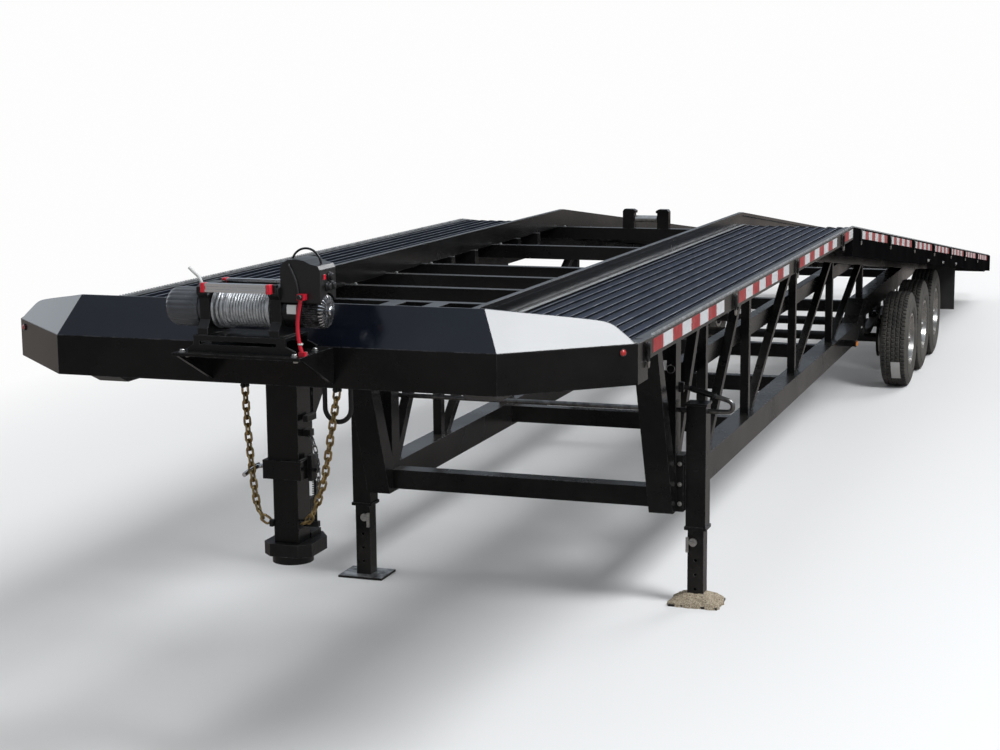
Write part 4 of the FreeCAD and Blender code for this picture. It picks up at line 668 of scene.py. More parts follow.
class HAULER_OT_stage(bpy.types.Operator):
    """Pale floor, soft lamps, plain world and the photograph's camera"""
    bl_idname = "hauler.stage"
    bl_label = "Stage"

    def execute(self, context):
        scene = context.scene
        scene.view_settings.view_transform = "Standard"
        half = 150.0
        mesh = bpy.data.meshes.new("studio_floor")
        corners = [(-half, -half, 0), (half, -half, 0), (half, half, 0), (-half, half, 0)]
        mesh.from_pydata(corners, [], [(0, 1, 2, 3)])
        floor = bpy.data.objects.new("studio_floor", mesh)
        scene.collection.objects.link(floor)
        mesh.materials.append(self.floor_material(tuple(scene.hauler_sizes.floor_colour)))
        self.light_world(scene)
        lamps = (
            # name, place, aim, side in metres, watts, colour
            ("key_lamp", (10.4, -8.6, 13.8), (0.0, -4.0, 1.0), 5.6, 2550.0, (0.96, 0.98, 1.0)),
            ("fill_lamp", (-14.8, 0.4, 5.6), (0.0, -6.0, 1.0), 9.0, 270.0, (0.9, 0.95, 1.0)),
            ("rear_lamp", (7.0, 13.0, 10.0), (0.0, 3.0, 1.0), 8.0, 1200.0, (1.0, 1.0, 1.0)),
        )
        for name, place, aim, side, watts, colour in lamps:
            light = bpy.data.lights.new(name, "AREA")
            light.shape = "SQUARE"
            light.size = side
            light.energy = watts
            light.color = colour
            lamp = bpy.data.objects.new(name, light)
            scene.collection.objects.link(lamp)
            lamp.location = place
            lamp.rotation_euler = (Vector(aim) - Vector(place)).to_track_quat("-Z", "Y").to_euler()
        self.place_camera(scene)
        return {"FINISHED"}

    def mixed(self, tree, factor, first, second):
        """Mix of two shaders by a factor."""
        node = tree.nodes.new("ShaderNodeMixShader")
        for socket, value in zip(node.inputs, (factor, first, second)):
            tree.links.new(value, socket)
        return node.outputs[0]

    def floor_material(self, colour):
        """Matt floor that keeps the shadow, turning into plain white away from the trailer.

        The turn goes with (x / 6.5)^2 + (y / 14)^2; reflections see a duller floor than the camera does.
        """
        material, tree, shader = start_material("studio_floor", specular=0.1)
        shader.inputs["Roughness"].default_value = 0.9
        path = tree.nodes.new("ShaderNodeLightPath").outputs
        duller = tuple(channel * factor for channel, factor in zip(colour, (0.40, 0.37, 0.35)))
        give(tree, shader.inputs["Base Color"], blended(tree, path["Is Glossy Ray"], colour, duller))
        white = add_node(tree, "ShaderNodeEmission", Strength=0.985)
        ground = blended(tree, path["Is Camera Ray"], (0.34, 0.31, 0.29), (1.0, 1.0, 1.0))
        tree.links.new(ground, white.inputs["Color"])
        place = parts_of(tree, coordinates(tree))
        across, along = (math_node(tree, "POWER", math_node(tree, "DIVIDE", place[axis], reach), 2.0)
                         for axis, reach in (("X", 6.5), ("Y", 14.0)))
        seen = math_node(tree, "MAXIMUM", path["Is Camera Ray"], path["Is Glossy Ray"])
        seen = math_node(tree, "MAXIMUM", seen, path["Is Transmission Ray"])
        factor = product(tree, spread(tree, math_node(tree, "ADD", across, along), 0.25, 1.0), seen)
        surface = self.mixed(tree, factor, shader.outputs[0], white.outputs[0])
        tree.links.new(surface, tree.nodes["Material Output"].inputs["Surface"])
        return material

    def light_world(self, scene):
        """The camera sees white, the part gets soft light, reflections see a sky that brightens upwards."""
        world = bpy.data.worlds.new("studio")
        scene.world = world
        world.use_nodes = True
        tree = world.node_tree
        tree.nodes.clear()
        white = add_node(tree, "ShaderNodeBackground", Strength=0.985, Color=(1.0, 1.0, 1.0, 1.0))
        soft = add_node(tree, "ShaderNodeBackground", Strength=0.5, Color=(0.96, 0.98, 1.0, 1.0))
        sky = add_node(tree, "ShaderNodeBackground", Color=(0.78, 0.88, 1.0, 1.0))
        height = parts_of(tree, coordinates(tree, "Generated"))["Z"]
        tree.links.new(spread(tree, height, 0.1, 0.6, 0.42, 0.75), sky.inputs["Strength"])
        path = tree.nodes.new("ShaderNodeLightPath").outputs
        reflected = math_node(tree, "MAXIMUM", path["Is Glossy Ray"], path["Is Transmission Ray"])
        unseen = self.mixed(tree, reflected, soft.outputs[0], sky.outputs[0])
        surface = self.mixed(tree, path["Is Camera Ray"], unseen, white.outputs[0])
        tree.links.new(surface, tree.nodes.new("ShaderNodeOutputWorld").inputs["Surface"])

    def place_camera(self, scene):
        """Camera of the photograph, from its turns about the upright, the level and the line of sight."""
        yaw, pitch, roll = (math.radians(turn) for turn in (CAMERA_YAW, CAMERA_PITCH, CAMERA_ROLL))
        forward = Vector((-math.sin(yaw) * math.cos(pitch), math.cos(yaw) * math.cos(pitch), math.sin(pitch)))
        level = Vector((math.cos(yaw), math.sin(yaw), 0.0))
        above = level.cross(forward)
        right = math.cos(roll) * level + math.sin(roll) * above
        up = -math.sin(roll) * level + math.cos(roll) * above
        data = bpy.data.cameras.new("photograph_view")
        data.lens = CAMERA_LENS
        data.sensor_width = 36.0
        data.clip_end = 400.0
        camera = bpy.data.objects.new("photograph_view", data)
        scene.collection.objects.link(camera)
        turn = Matrix((right, up, -forward)).transposed()
        camera.matrix_world = Matrix.Translation(CAMERA_PLACE) @ turn.to_4x4()
        scene.camera = camera


class HAULER_OT_finishes(bpy.types.Operator):
    """Gives every piece of the frame its procedural finish"""
    bl_idname = "hauler.finishes"
    bl_label = "Frame finishes"

    def execute(self, context):
        for row in frame["record"]["subparts"]:
            mesh = frame["nodes"][row["node"]].data
            mesh.materials.clear()
            mesh.materials.append(finish(NODE_LOOKS.get(row["node"], row["material_slot"])))
        return {"FINISHED"}


class HAULER_OT_fascia(bpy.types.Operator):
    """Bent sheet above the front beam, its end facets falling outwards to rounded corners"""
    bl_idname = "hauler.fascia"
    bl_label = "Fascia"

    def execute(self, context):
        low, high = box_of("fascia")
        foot, head, lean, thickness = float(low[2]), float(high[2]), 0.075, 0.008
        fold_top = FOLD_X - 0.070
        half = curve_through([(fold_top, head), (0.930, head - 0.0205), (1.050, head - 0.0415),
                              (1.160, head - 0.0625), (1.203, head - 0.078), (1.232, head - 0.100),
                              (1.258, head - 0.122), (1.276, head - 0.139), (1.284, foot + 0.002)], 40)
        share = (half[:, 0] - fold_top) / (half[-1, 0] - fold_top)
        foot_half = FOLD_X + (HALF_WIDTH - FOLD_X) * share
        foot_x = np.concatenate([-foot_half[::-1], foot_half])
        top_x = np.concatenate([-half[::-1, 0], half[:, 0]])
        foot_z, top_z = np.full(len(top_x), foot), np.concatenate([half[::-1, 1], half[:, 1]])
        slope = FOLD_RUN / (HALF_WIDTH - FOLD_X)
        rise = (lean + slope * (FOLD_X - fold_top)) / (head - foot)
        corners = []
        for x, z, behind in ((foot_x, foot_z, 0.0), (top_x, top_z, 0.0), (top_x, top_z, thickness),
                             (foot_x, foot_z, thickness)):
            y = slope * (np.abs(x) - FOLD_X) + rise * (z - foot) + behind
            corners.append(np.stack([x, y + FACE_Y, z], 1))
        new_piece("fascia_sheet", stacked(np.stack(corners, 1)), "fascia_paint",
                  replaces=("fascia",))
        return {"FINISHED"}


def wheels():
    """Each wheel's name, its side and number, and its tyre's low and high corners."""
    for side_name, side in SIDES:
        for number in (1, 2, 3):
            yield f"{side_name}_{number}", side, number, *box_of(f"tyre_{side_name}_{number}")


class HAULER_OT_tyres(bpy.types.Operator):
    """Tyres with wavy tread grooves, shoulder slots and ringed sidewalls"""
    bl_idname = "hauler.tyres"
    bl_label = "Tyres"

    def execute(self, context):
        sizes = context.scene.hauler_sizes
        for name, _, number, low, high in wheels():
            shape = self.tyre((high[2] - low[2]) / 2, sizes.groove_depth, sizes.tread_pitch, 0.9 * number)
            new_piece(f"tread_{name}", moved(shape, (low + high) / 2), "tyre_rubber",
                      f"wheel_{name}", 35.0, (f"tyre_{name}",))
        return {"FINISHED"}

    def tyre(self, radius, depth, pitches, phase):
        """Radius r(a, t) across a and round t: a crowned tread less its grooves, then ringed walls.

        Four long grooves wave as g + A tri(p t); slots cross the shoulders and short cuts cross the ribs.
        """
        bare = curve_through([(0.090, 0.2075), (0.1005, 0.226), (0.1125, 0.258), (0.1168, 0.297),
                              (0.1135, 0.340), (0.1045, 0.372), (0.0945, radius - 0.012)], 20)
        rings = np.array([0.236, 0.264, 0.345])
        steps = (rings[:, None] + np.array([-0.0032, -0.0014, 0.0014, 0.0032])).ravel()
        height = np.sort(np.concatenate([bare[:, 1], steps]))
        ringed = np.abs(height[:, None] - rings).min(1) < 0.002
        wall = np.stack([np.interp(height, bare[:, 1], bare[:, 0]) - 0.0024 * ringed, height], 1)
        half_tread, columns = 0.0915, pitches * 5
        tread = np.linspace(half_tread, -half_tread, 56)
        crown = radius - 0.007 * (np.abs(tread) / half_tread) ** 5
        step = np.arange(columns)
        wave = 4.0 * np.abs(step / 5.0 - np.floor(step / 5.0 + 0.5)) - 1.0
        cut = np.zeros((len(tread), columns))
        for middle, turn in ((-0.055, 1.0), (-0.0185, -1.0), (0.0185, 1.0), (0.055, -1.0)):
            away = np.abs(tread[:, None] - middle - 0.0042 * turn * wave[None])
            cut = np.maximum(cut, np.clip(2.0 - away / 0.0036, 0.0, 1.0))
        across_tread = np.abs(tread)
        slots = (
            # rows that a slot crosses, its column in each pitch, its share of the depth
            (across_tread > 0.064, 2, 0.85),
            (np.abs(across_tread - 0.037) < 0.012, 4, 0.55),
            (across_tread < 0.011, 1, 0.55),
        )
        for rows, column, share in slots:
            cut = np.maximum(cut, share * (rows[:, None] & (step % 5 == column)[None]))
        across = np.concatenate([wall[:, 0], tread, -wall[::-1, 0]])
        plain = np.concatenate([wall[:, 1], crown, wall[::-1, 1]])
        sunk = np.zeros((len(across), columns))
        sunk[len(wall):len(wall) + len(tread)] = cut * depth
        return lathe(across, plain[:, None] - sunk, columns, loop=True, phase=phase)


class HAULER_OT_wheel_fittings(bpy.types.Operator):
    """Wheel nuts, hub caps and valves, and the bare label on one tyre"""
    bl_idname = "hauler.wheel_fittings"
    bl_label = "Wheel fittings"

    def execute(self, context):
        nut = lathe((0.0, 0.0, 0.004, 0.016, 0.020), (0.0, 0.015, 0.0125, 0.0125, 0.009), 6)
        cap = lathe((0.0, 0.0, 0.008, 0.012, 0.016, 0.017, 0.027, 0.030),
                    (0.0, 0.062, 0.062, 0.056, 0.052, 0.033, 0.031, 0.022), 28)
        valve = lathe((0.0, 0.0, 0.026, 0.030), (0.0, 0.0045, 0.0045, 0.003), 8)
        turn = angles(8) + 0.39
        bolt_circle = 0.091 * np.stack([np.zeros(8), np.cos(turn), np.sin(turn)], 1)
        for name, side, _, low, high in wheels():
            centre, way = (low + high) / 2, (side, 0.0, 0.0)
            nuts = set_along(nut, bolt_circle + (side * 0.027, 0.0, 0.0) + centre, way)
            hub = set_along(cap, [centre + (side * 0.070, 0.0, 0.0)], way)
            stem = set_along(valve, [centre + (side * 0.060, 0.0, 0.172)], way)
            if name == "left_1":
                self.label(centre)
            new_piece(f"wheel_nuts_{name}", merged([nuts, hub, stem]), "bare_steel",
                      f"wheel_{name}")
        return {"FINISHED"}

    def label(self, centre):
        """Bare paper label on the tread, bent to it: y = -r cos a, z = -r sin a."""
        angle = np.radians(np.linspace(22.0, 49.0, 14))
        inner, outer, left, right = 0.4015, 0.4040, -0.018, 0.058
        corners = [np.stack([np.full(14, x), -radius * np.cos(angle), -radius * np.sin(angle)], 1)
                   for radius, x in ((inner, left), (inner, right), (outer, right), (outer, left))]
        new_piece("tyre_label", moved(stacked(np.stack(corners, 1)), centre), "paper_label",
                  "wheel_left_1")


class HAULER_OT_tape(bpy.types.Operator):
    """Red and white reflective tape along the rub rails"""
    bl_idname = "hauler.tape"
    bl_label = "Reflective tape"

    def execute(self, context):
        block = context.scene.hauler_sizes.tape_block
        runs = (
            # first block's place, run's pitch, runs, blocks in a run, whether a run starts with red
            (0.591, LEVEL_HOOK_PITCH, 3, 8, True),
            (5.163, LEVEL_HOOK_PITCH, 1, 2, True),
            (5.860, SLOPE_HOOK_PITCH, 7, 8, False),
        )
        red, white = [], []
        for first, pitch, count, blocks, red_first in runs:
            start = (first + pitch * np.arange(count)[:, None] + block * np.arange(blocks)[None]).ravel()
            is_red = np.tile(np.arange(blocks) % 2 == (0 if red_first else 1), count)
            fits = start + block < TRAILER_LENGTH - 0.01
            for bars, wanted in ((red, fits & is_red), (white, fits & ~is_red)):
                for _, side in SIDES:
                    bars.append(strips(side * (HALF_WIDTH - 0.001), side * (HALF_WIDTH + 0.0008),
                                       start[wanted], start[wanted] + block - 0.001, 0.010, 0.062))
        new_piece("tape_red", merged(red), "tape_red")
        new_piece("tape_white", merged(white), "tape_white")
        return {"FINISHED"}


class HAULER_OT_grip_strips(bpy.types.Operator):
    """Toothed grip strips along the deck's outer edges, and rubbed flat strips beside the inner rails"""
    bl_idname = "hauler.grip_strips"
    bl_label = "Grip strips"

    def execute(self, context):
        pitch = context.scene.hauler_sizes.tooth_pitch
        teeth = [self.toothed(np.arange(start, end, pitch / 2), side)
                 for start, end in ((0.60, KNEE_Y), (KNEE_Y, TRAILER_LENGTH - 0.10)) for _, side in SIDES]
        new_piece("grip_strips", merged(teeth), "grip_steel", smooth=20.0)
        start, end = np.array([0.125, KNEE_Y + 0.002]), np.array([KNEE_Y - 0.002, TRAILER_LENGTH - 0.11])
        feet = [strips(side * 0.600, side * 0.6185, start, end, -0.0052, -0.0042) for _, side in SIDES]
        new_piece("foot_strips", merged(feet), "foot_strip")
        return {"FINISHED"}

    def toothed(self, y, side):
        """Thin upright bar whose top rises and falls from tooth to tooth: z = deck + 2 mm or 9 mm in turn."""
        top = deck_height(y) + np.where(np.arange(len(y)) % 2 == 0, 0.002, 0.009)
        low = deck_height(y) - 0.004
        outer, inner = side * (HALF_WIDTH - 0.006), side * (HALF_WIDTH - 0.011)
        corners = [np.stack([np.full(len(y), x), y + FACE_Y, z], 1)
                   for x, z in ((inner, low), (outer, low), (outer, top), (inner, top))]
        return stacked(np.stack(corners, 1))


class HAULER_OT_hooks(bpy.types.Operator):
    """Tie-down eyes bent from round bar, with bright ends below them"""
    bl_idname = "hauler.hooks"
    bl_label = "Tie-down eyes"

    def execute(self, context):
        y = np.concatenate([0.490 + LEVEL_HOOK_PITCH * np.arange(4), 5.775 + SLOPE_HOOK_PITCH * np.arange(7)])
        places = np.stack([np.full(len(y), HALF_WIDTH + 0.008), y + FACE_Y, deck_height(y) - 0.044], 1)
        places = np.concatenate([places, places * (-1.0, 1.0, 1.0)])
        new_piece("hook_eyes", repeated(self.eye(), places, [np.eye(3)] * len(places)), "frame_paint",
                  replaces=("tie_down_hooks",))
        end = lathe((0.0, 0.0, 0.004, 0.020, 0.024), (0.0, 0.0075, 0.0075, 0.0055, 0.0035), 10)
        new_piece("hook_ends", set_along(end, places - (0.0, 0.0, 0.036), DOWN), "bare_steel")
        return {"FINISHED"}

    def eye(self):
        """Bar along a rounded square: y = a sign(cos t) |cos t|^0.55, z = b sign(sin t) |sin t|^0.75."""
        turn = angles(28)
        y, z = (half * np.sign(wave) * np.abs(wave) ** power
                for half, wave, power in ((0.0112, np.cos(turn), 0.55), (0.0322, np.sin(turn), 0.75)))
        return swept(np.stack([np.zeros(28), y, z], 1), circle(0.0056), LEFT, loop=True)


class HAULER_OT_chains(bpy.types.Operator):
    """Safety chains of round-bar links, their eyes and lugs"""
    bl_idname = "hauler.chains"
    bl_label = "Safety chains"

    def execute(self, context):
        hangs = (
            route((-0.140, 0.084, 1.553), (-0.136, 0.086, 1.430), (-0.129, 0.088, 1.302),
                  (-0.110, 0.092, 1.111), (-0.084, 0.100, 1.044), (-0.072, 0.112, 1.034)),
            route((0.236, 0.084, 1.553), (0.222, 0.086, 1.470), (0.207, 0.088, 1.398), (0.169, 0.092, 1.206),
                  (0.117, 0.096, 1.072), (0.082, 0.104, 1.040), (0.072, 0.112, 1.034)),
        )
        links = [chain(hang, 0.030, 0.0085, (0.0118, 0.0118), 0.0047, 24, 8) for hang in hangs]
        new_piece("chain_links", merged(links), "gold_zinc", smooth=60.0,
                  replaces=("safety_chains",))
        eye = lathe((-0.017, -0.017, -0.015, 0.015, 0.017, 0.017), (0.0, 0.006, 0.007, 0.007, 0.006, 0.0), 12)
        anchors = []
        for x in (0.236, -0.140):
            anchors += [cuboid(at(x - 0.005, 0.062, 1.548), at(x + 0.005, 0.102, 1.577)),
                        moved(eye, at(x, 0.084, 1.556))]
        for x in (0.051, -0.067):
            anchors.append(cuboid(at(x, 0.104, 1.014), at(x + 0.016, 0.128, 1.040)))
        new_piece("chain_anchors", merged(anchors), "cast_black", bevel=0.002,
                  replaces=("safety_chains",))
        return {"FINISHED"}


class HAULER_OT_rope(bpy.types.Operator):
    """Wire rope wound on the winch drum, with a few crossing turns at one end"""
    bl_idname = "hauler.rope"
    bl_label = "Winch rope"

    def execute(self, context):
        radius = context.scene.hauler_sizes.rope_radius
        low, high = box_of("winch_drum")
        half = (high[0] - low[0]) / 2 - 0.008 - radius
        coils = [self.coil(-half, half, half / (1.02 * radius), 0.061, 0.0, radius),
                 self.coil(-half + 0.004, -half + 0.052, 3.6, 0.0675, 0.0035, radius)]
        new_piece("rope_turns", moved(merged(coils), (low + high) / 2), "wire_rope",
                  "winch_drum", 60.0)
        return {"FINISHED"}

    def coil(self, start, end, turns, reach, sway, radius):
        """Rope round a helix; its strands twist along s: section r (0.86 + 0.14 |cos(3u + k s)|)."""
        count = int(turns * 72)
        t = np.linspace(0.0, turns * math.tau, count)
        x = np.linspace(start, end, count) + sway * np.sin(1.37 * t)
        turn = angles(12)
        twist = t[:, None] * reach / 0.0105
        strand = radius * (0.86 + 0.14 * np.abs(np.cos(3.0 * turn[None] + twist)))
        profile = np.stack([strand * np.cos(turn), strand * np.sin(turn)], -1)
        return swept(np.stack([x, reach * np.cos(t), reach * np.sin(t)], 1), profile, LEFT)


class HAULER_OT_winch_cases(bpy.types.Operator):
    """Fluted gear housing and finned motor of the winch"""
    bl_idname = "hauler.winch_cases"
    bl_label = "Winch housings"

    def execute(self, context):
        low, high = box_of("winch_drum")
        axis = (low + high) / 2 * (0.0, 1.0, 1.0)
        new_piece("gear_housing", moved(self.gear_housing(angles(192)), axis), "gear_grey",
                  smooth=28.0, replaces=("winch_gearbox",))
        low, high = box_of("winch_motor")
        case = self.motor_case((high[2] - low[2]) / 2, np.arange(192) % 4 >= 2)
        new_piece("motor_case", moved(case, axis), "motor_black", smooth=28.0,
                  replaces=("winch_motor",))
        tip = float(high[0])
        cap = lathe((0.312, 0.312, tip - 0.004, tip - 0.001, tip), (0.0, 0.017, 0.017, 0.014, 0.010), 24)
        end = merged([moved(cap, axis), self.end_fins(axis)])
        new_piece("motor_end_fins", end, "bright_silver")
        return {"FINISHED"}

    def gear_housing(self, turn):
        """Domed case whose flutes go in by d (1 - sqrt(0.5 + 0.5 cos 22 t)) along x."""
        low, high = box_of("winch_gearbox")
        rows = np.array([
            # x, share of the radius, depth of the flutes
            (low[0] + 0.001, 0.60, 0.0), (low[0] + 0.006, 0.78, 0.00056), (low[0] + 0.014, 0.90, 0.00224),
            (low[0] + 0.026, 0.972, 0.0028), (low[0] + 0.036, 0.995, 0.0028), (-0.175, 0.995, 0.0028),
            (-0.172, 0.97, 0.00112), (-0.170, 0.88, 0.0), (-0.160, 0.88, 0.0),
        ])
        plain = (high[1] - low[1]) / 2 * rows[:, 1:2]
        flutes = rows[:, 2:] * (1.0 - np.sqrt(0.5 + 0.5 * np.cos(22 * turn)))
        return lathe(rows[:, 0], plain - flutes, len(turn))

    def motor_case(self, radius, gap):
        """Round case, lower between its fins and set back there along x."""
        rows = np.array([
            # x, share of the radius, depth of the gaps, how far they are set back
            (0.160, 0.985, 0.0, 0.0), (0.222, 0.985, 0.0, 0.0), (0.224, 0.97, 0.0, 0.0),
            (0.230, 0.93, 0.0, 0.0), (0.232, 0.99, 0.0058, 0.0), (0.292, 0.995, 0.0058, 0.0),
            (0.303, 0.955, 0.0056, 0.001), (0.310, 0.87, 0.005, 0.003), (0.314, 0.72, 0.004, 0.005),
            (0.315, 0.50, 0.002, 0.006), (0.316, 0.30, 0.0, 0.003), (0.316, 0.26, 0.0, 0.0),
        ])
        return lathe(rows[:, :1] - rows[:, 3:] * gap, radius * rows[:, 1:2] - rows[:, 2:3] * gap, len(gap))

    def end_fins(self, axis):
        """Thirty rays on the motor's end, each a plate that follows the dome, turned about x."""
        side = np.array([(0.298, 0.016), (0.3146, 0.016), (0.3150, 0.034), (0.3135, 0.0455), (0.3095, 0.0550),
                         (0.3040, 0.0598), (0.298, 0.0612)])
        width = 0.0008 + 0.0011 * (side[:, 1] - 0.016) / 0.045
        ray = stacked(np.stack([np.c_[side, -width], np.c_[side, width]]))
        turn = angles(30)
        spin = np.tile(np.eye(3), (30, 1, 1))
        spin[:, 1, 1] = spin[:, 2, 2] = np.cos(turn)
        spin[:, 1, 2], spin[:, 2, 1] = -np.sin(turn), np.sin(turn)
        return repeated(ray, [axis] * 30, spin)


class HAULER_OT_winch_trim(bpy.types.Operator):
    """Winch's bright tie bars, red caps, clutch lever, labels, plugs and thin leads"""
    bl_idname = "hauler.winch_trim"
    bl_label = "Winch trim"

    def execute(self, context):
        low, high = box_of("winch_frame")
        bar_top = float(high[2])
        half = [(0.0125, -0.0155), (0.0125, -0.006), (0.0100, -0.004), (0.0100, 0.004), (0.0125, 0.006),
                (0.0125, 0.0155), (0.005, 0.0155), (0.003, 0.013)]
        grooved = half + [(-x, z) for x, z in reversed(half)]
        bars, caps = [], []
        for y in (float(low[1]) - FACE_Y + 0.007, WINCH_Y + 0.077):
            bars.append(swept(route((-0.119, y, bar_top - 0.015), (0.119, y, bar_top - 0.015)), grooved, UP))
            for x in (-0.1285, 0.1285):
                caps.append(cuboid(at(x - 0.0105, y - 0.0145, bar_top - 0.032),
                                   at(x + 0.0105, y + 0.0145, bar_top + 0.0015), 0.004))
        new_piece("tie_bar_sleeves", merged(bars), "bright_silver", smooth=20.0)
        new_piece("tie_bar_caps", merged(caps), "red_anodised", bevel=0.002)
        self.lever()
        self.label()
        self.box_fittings()
        return {"FINISHED"}

    def lever(self):
        """Boss on the gear housing and the bent clutch lever, a round bar along a short curve."""
        boss = lathe((0.0, 0.0, 0.020, 0.026, 0.030), (0.0, 0.016, 0.016, 0.012, 0.006), 20)
        new_piece("lever_boss", set_along(boss, [at(-0.200, -0.11, 1.926)], UP), "motor_black",
                  replaces=("winch_gearbox",))
        path = route((-0.200, -0.11, 1.950), (-0.203, -0.11, 1.966), (-0.214, -0.11, 1.984),
                     (-0.232, -0.11, 1.999), (-0.249, -0.11, 2.014))
        new_piece("clutch_lever", swept(curve_through(path, 22), circle(0.0062, 10), BACK), "pale_plastic",
                  smooth=60.0, replaces=("winch_gearbox",))

    def label(self):
        """Bare label bent round the motor: y = r cos a, z = -r sin a from its axis."""
        turn = np.radians(np.linspace(168.0, 198.0, 12))
        edge = np.concatenate([radius * np.stack([np.cos(angle), -np.sin(angle)], 1)
                               for radius, angle in ((0.0600, turn), (0.0632, turn[::-1]))])
        edge += (WINCH_Y + FACE_Y, 1.884)
        ends = [np.c_[np.full(len(edge), x), edge] for x in (0.180, 0.216)]
        new_piece("blank_label", stacked(np.stack(ends)), "pale_plastic")

    def box_fittings(self):
        """Socket plugs, red label and thin lead of the control box, the lead's nut and its tie."""
        low, high = box_of("winch_control_box")
        right, front = float(high[0]), float(low[1]) - FACE_Y
        plug = lathe((0.0, 0.0, 0.006, 0.007, 0.015, 0.017), (0.0, 0.017, 0.017, 0.013, 0.012, 0.009), 16)
        places = [at(right - 0.001, y, z) for y, z in ((-0.150, 1.966), (-0.112, 1.966), (-0.131, 2.000))]
        new_piece("socket_plugs", set_along(plug, places, LEFT), "winch_plastic")
        new_piece("red_label", cuboid(at(right - 0.001, -0.176, 1.992), at(right + 0.0008, -0.156, 2.010)),
                  "red_anodised")
        skin = front - 0.0032
        lead = route((0.186, front + 0.052, 2.060), (0.196, front - 0.001, 2.046), (0.204, skin, 2.030),
                     (0.222, skin, 1.988), (0.229, skin, 1.950), (0.231, skin, 1.914))
        new_piece("box_lead", swept(curve_through(lead, 60), circle(0.0033), (1.0, 0.2, 0.0)), "lead_grey",
                  smooth=60.0)
        nut = lathe((0.0, 0.0, 0.008, 0.012), (0.0, 0.011, 0.011, 0.008), 6)
        new_piece("lead_nut", set_along(nut, [at(0.249, front - 0.032, 1.936)], FORWARD), "winch_plastic")
        tie = lathe((0.0, 0.0, 0.005, 0.005), (0.0, 0.0095, 0.0095, 0.0), 12)
        new_piece("lead_tie", set_along(tie, [at(0.2405, front - 0.021, 1.768)], (0.12, 0.0, 1.0)),
                  "pale_plastic")


class HAULER_OT_bolts(bpy.types.Operator):
    """Bright bolts with washers on the winch tray, neck, jacks, beams and crossmembers"""
    bl_idname = "hauler.bolts"
    bl_label = "Bolts"

    def execute(self, context):
        head = moved(lathe((0.0, 0.0, 0.34, 0.45), (0.0, 0.5, 0.5, 0.42), 6), (0.06, 0.0, 0.0))
        washer = lathe((-0.02, -0.02, 0.08, 0.08), (0.0, 0.66, 0.66, 0.0), 14)
        flange_y = float(box_of("jack_housings")[0][1]) - FACE_Y
        tray_foot = WINCH_FLOOR - 0.012
        bolts = [
            # place, direction, width across the head
            ((0.227, -0.250, WINCH_FLOOR), UP, 0.019), ((0.240, -0.189, WINCH_FLOOR), UP, 0.019),
            ((0.234, -0.095, WINCH_FLOOR), UP, 0.019), ((-0.212, -0.250, WINCH_FLOOR), UP, 0.019),
            ((-0.205, -0.225, tray_foot), DOWN, 0.019), ((0.232, -0.250, tray_foot), DOWN, 0.019),
            ((0.010, 0.227, 1.25), BACK, 0.016), ((0.010, 0.227, 1.33), BACK, 0.016),
        ]
        for x in (1.0, -1.0):
            bolts += [((x * 0.848, flange_y, z), FORWARD, 0.018) for z in (0.540, 0.640, 0.745)]
            bolts += [((x * HALF_WIDTH, y, float(deck_height(y)) - 0.148), (x, 0.0, 0.0), 0.024)
                      for y in (9.66, 10.85, 12.04)]
            bolts += [((x * 0.545, y + 0.0255, 1.701), UP, 0.016)
                      for y in (1.500, 2.020, 2.530, 3.010, 4.120, 5.380)]
            bolts.append(((x * 0.110, 5.390, 1.701), UP, 0.014))
        places, directions, widths = zip(*bolts)
        turns = facing(directions) * np.array(widths)[:, None, None]
        new_piece("bright_bolts", repeated(merged([head, washer]), route(*places), turns), "bare_steel")
        return {"FINISHED"}


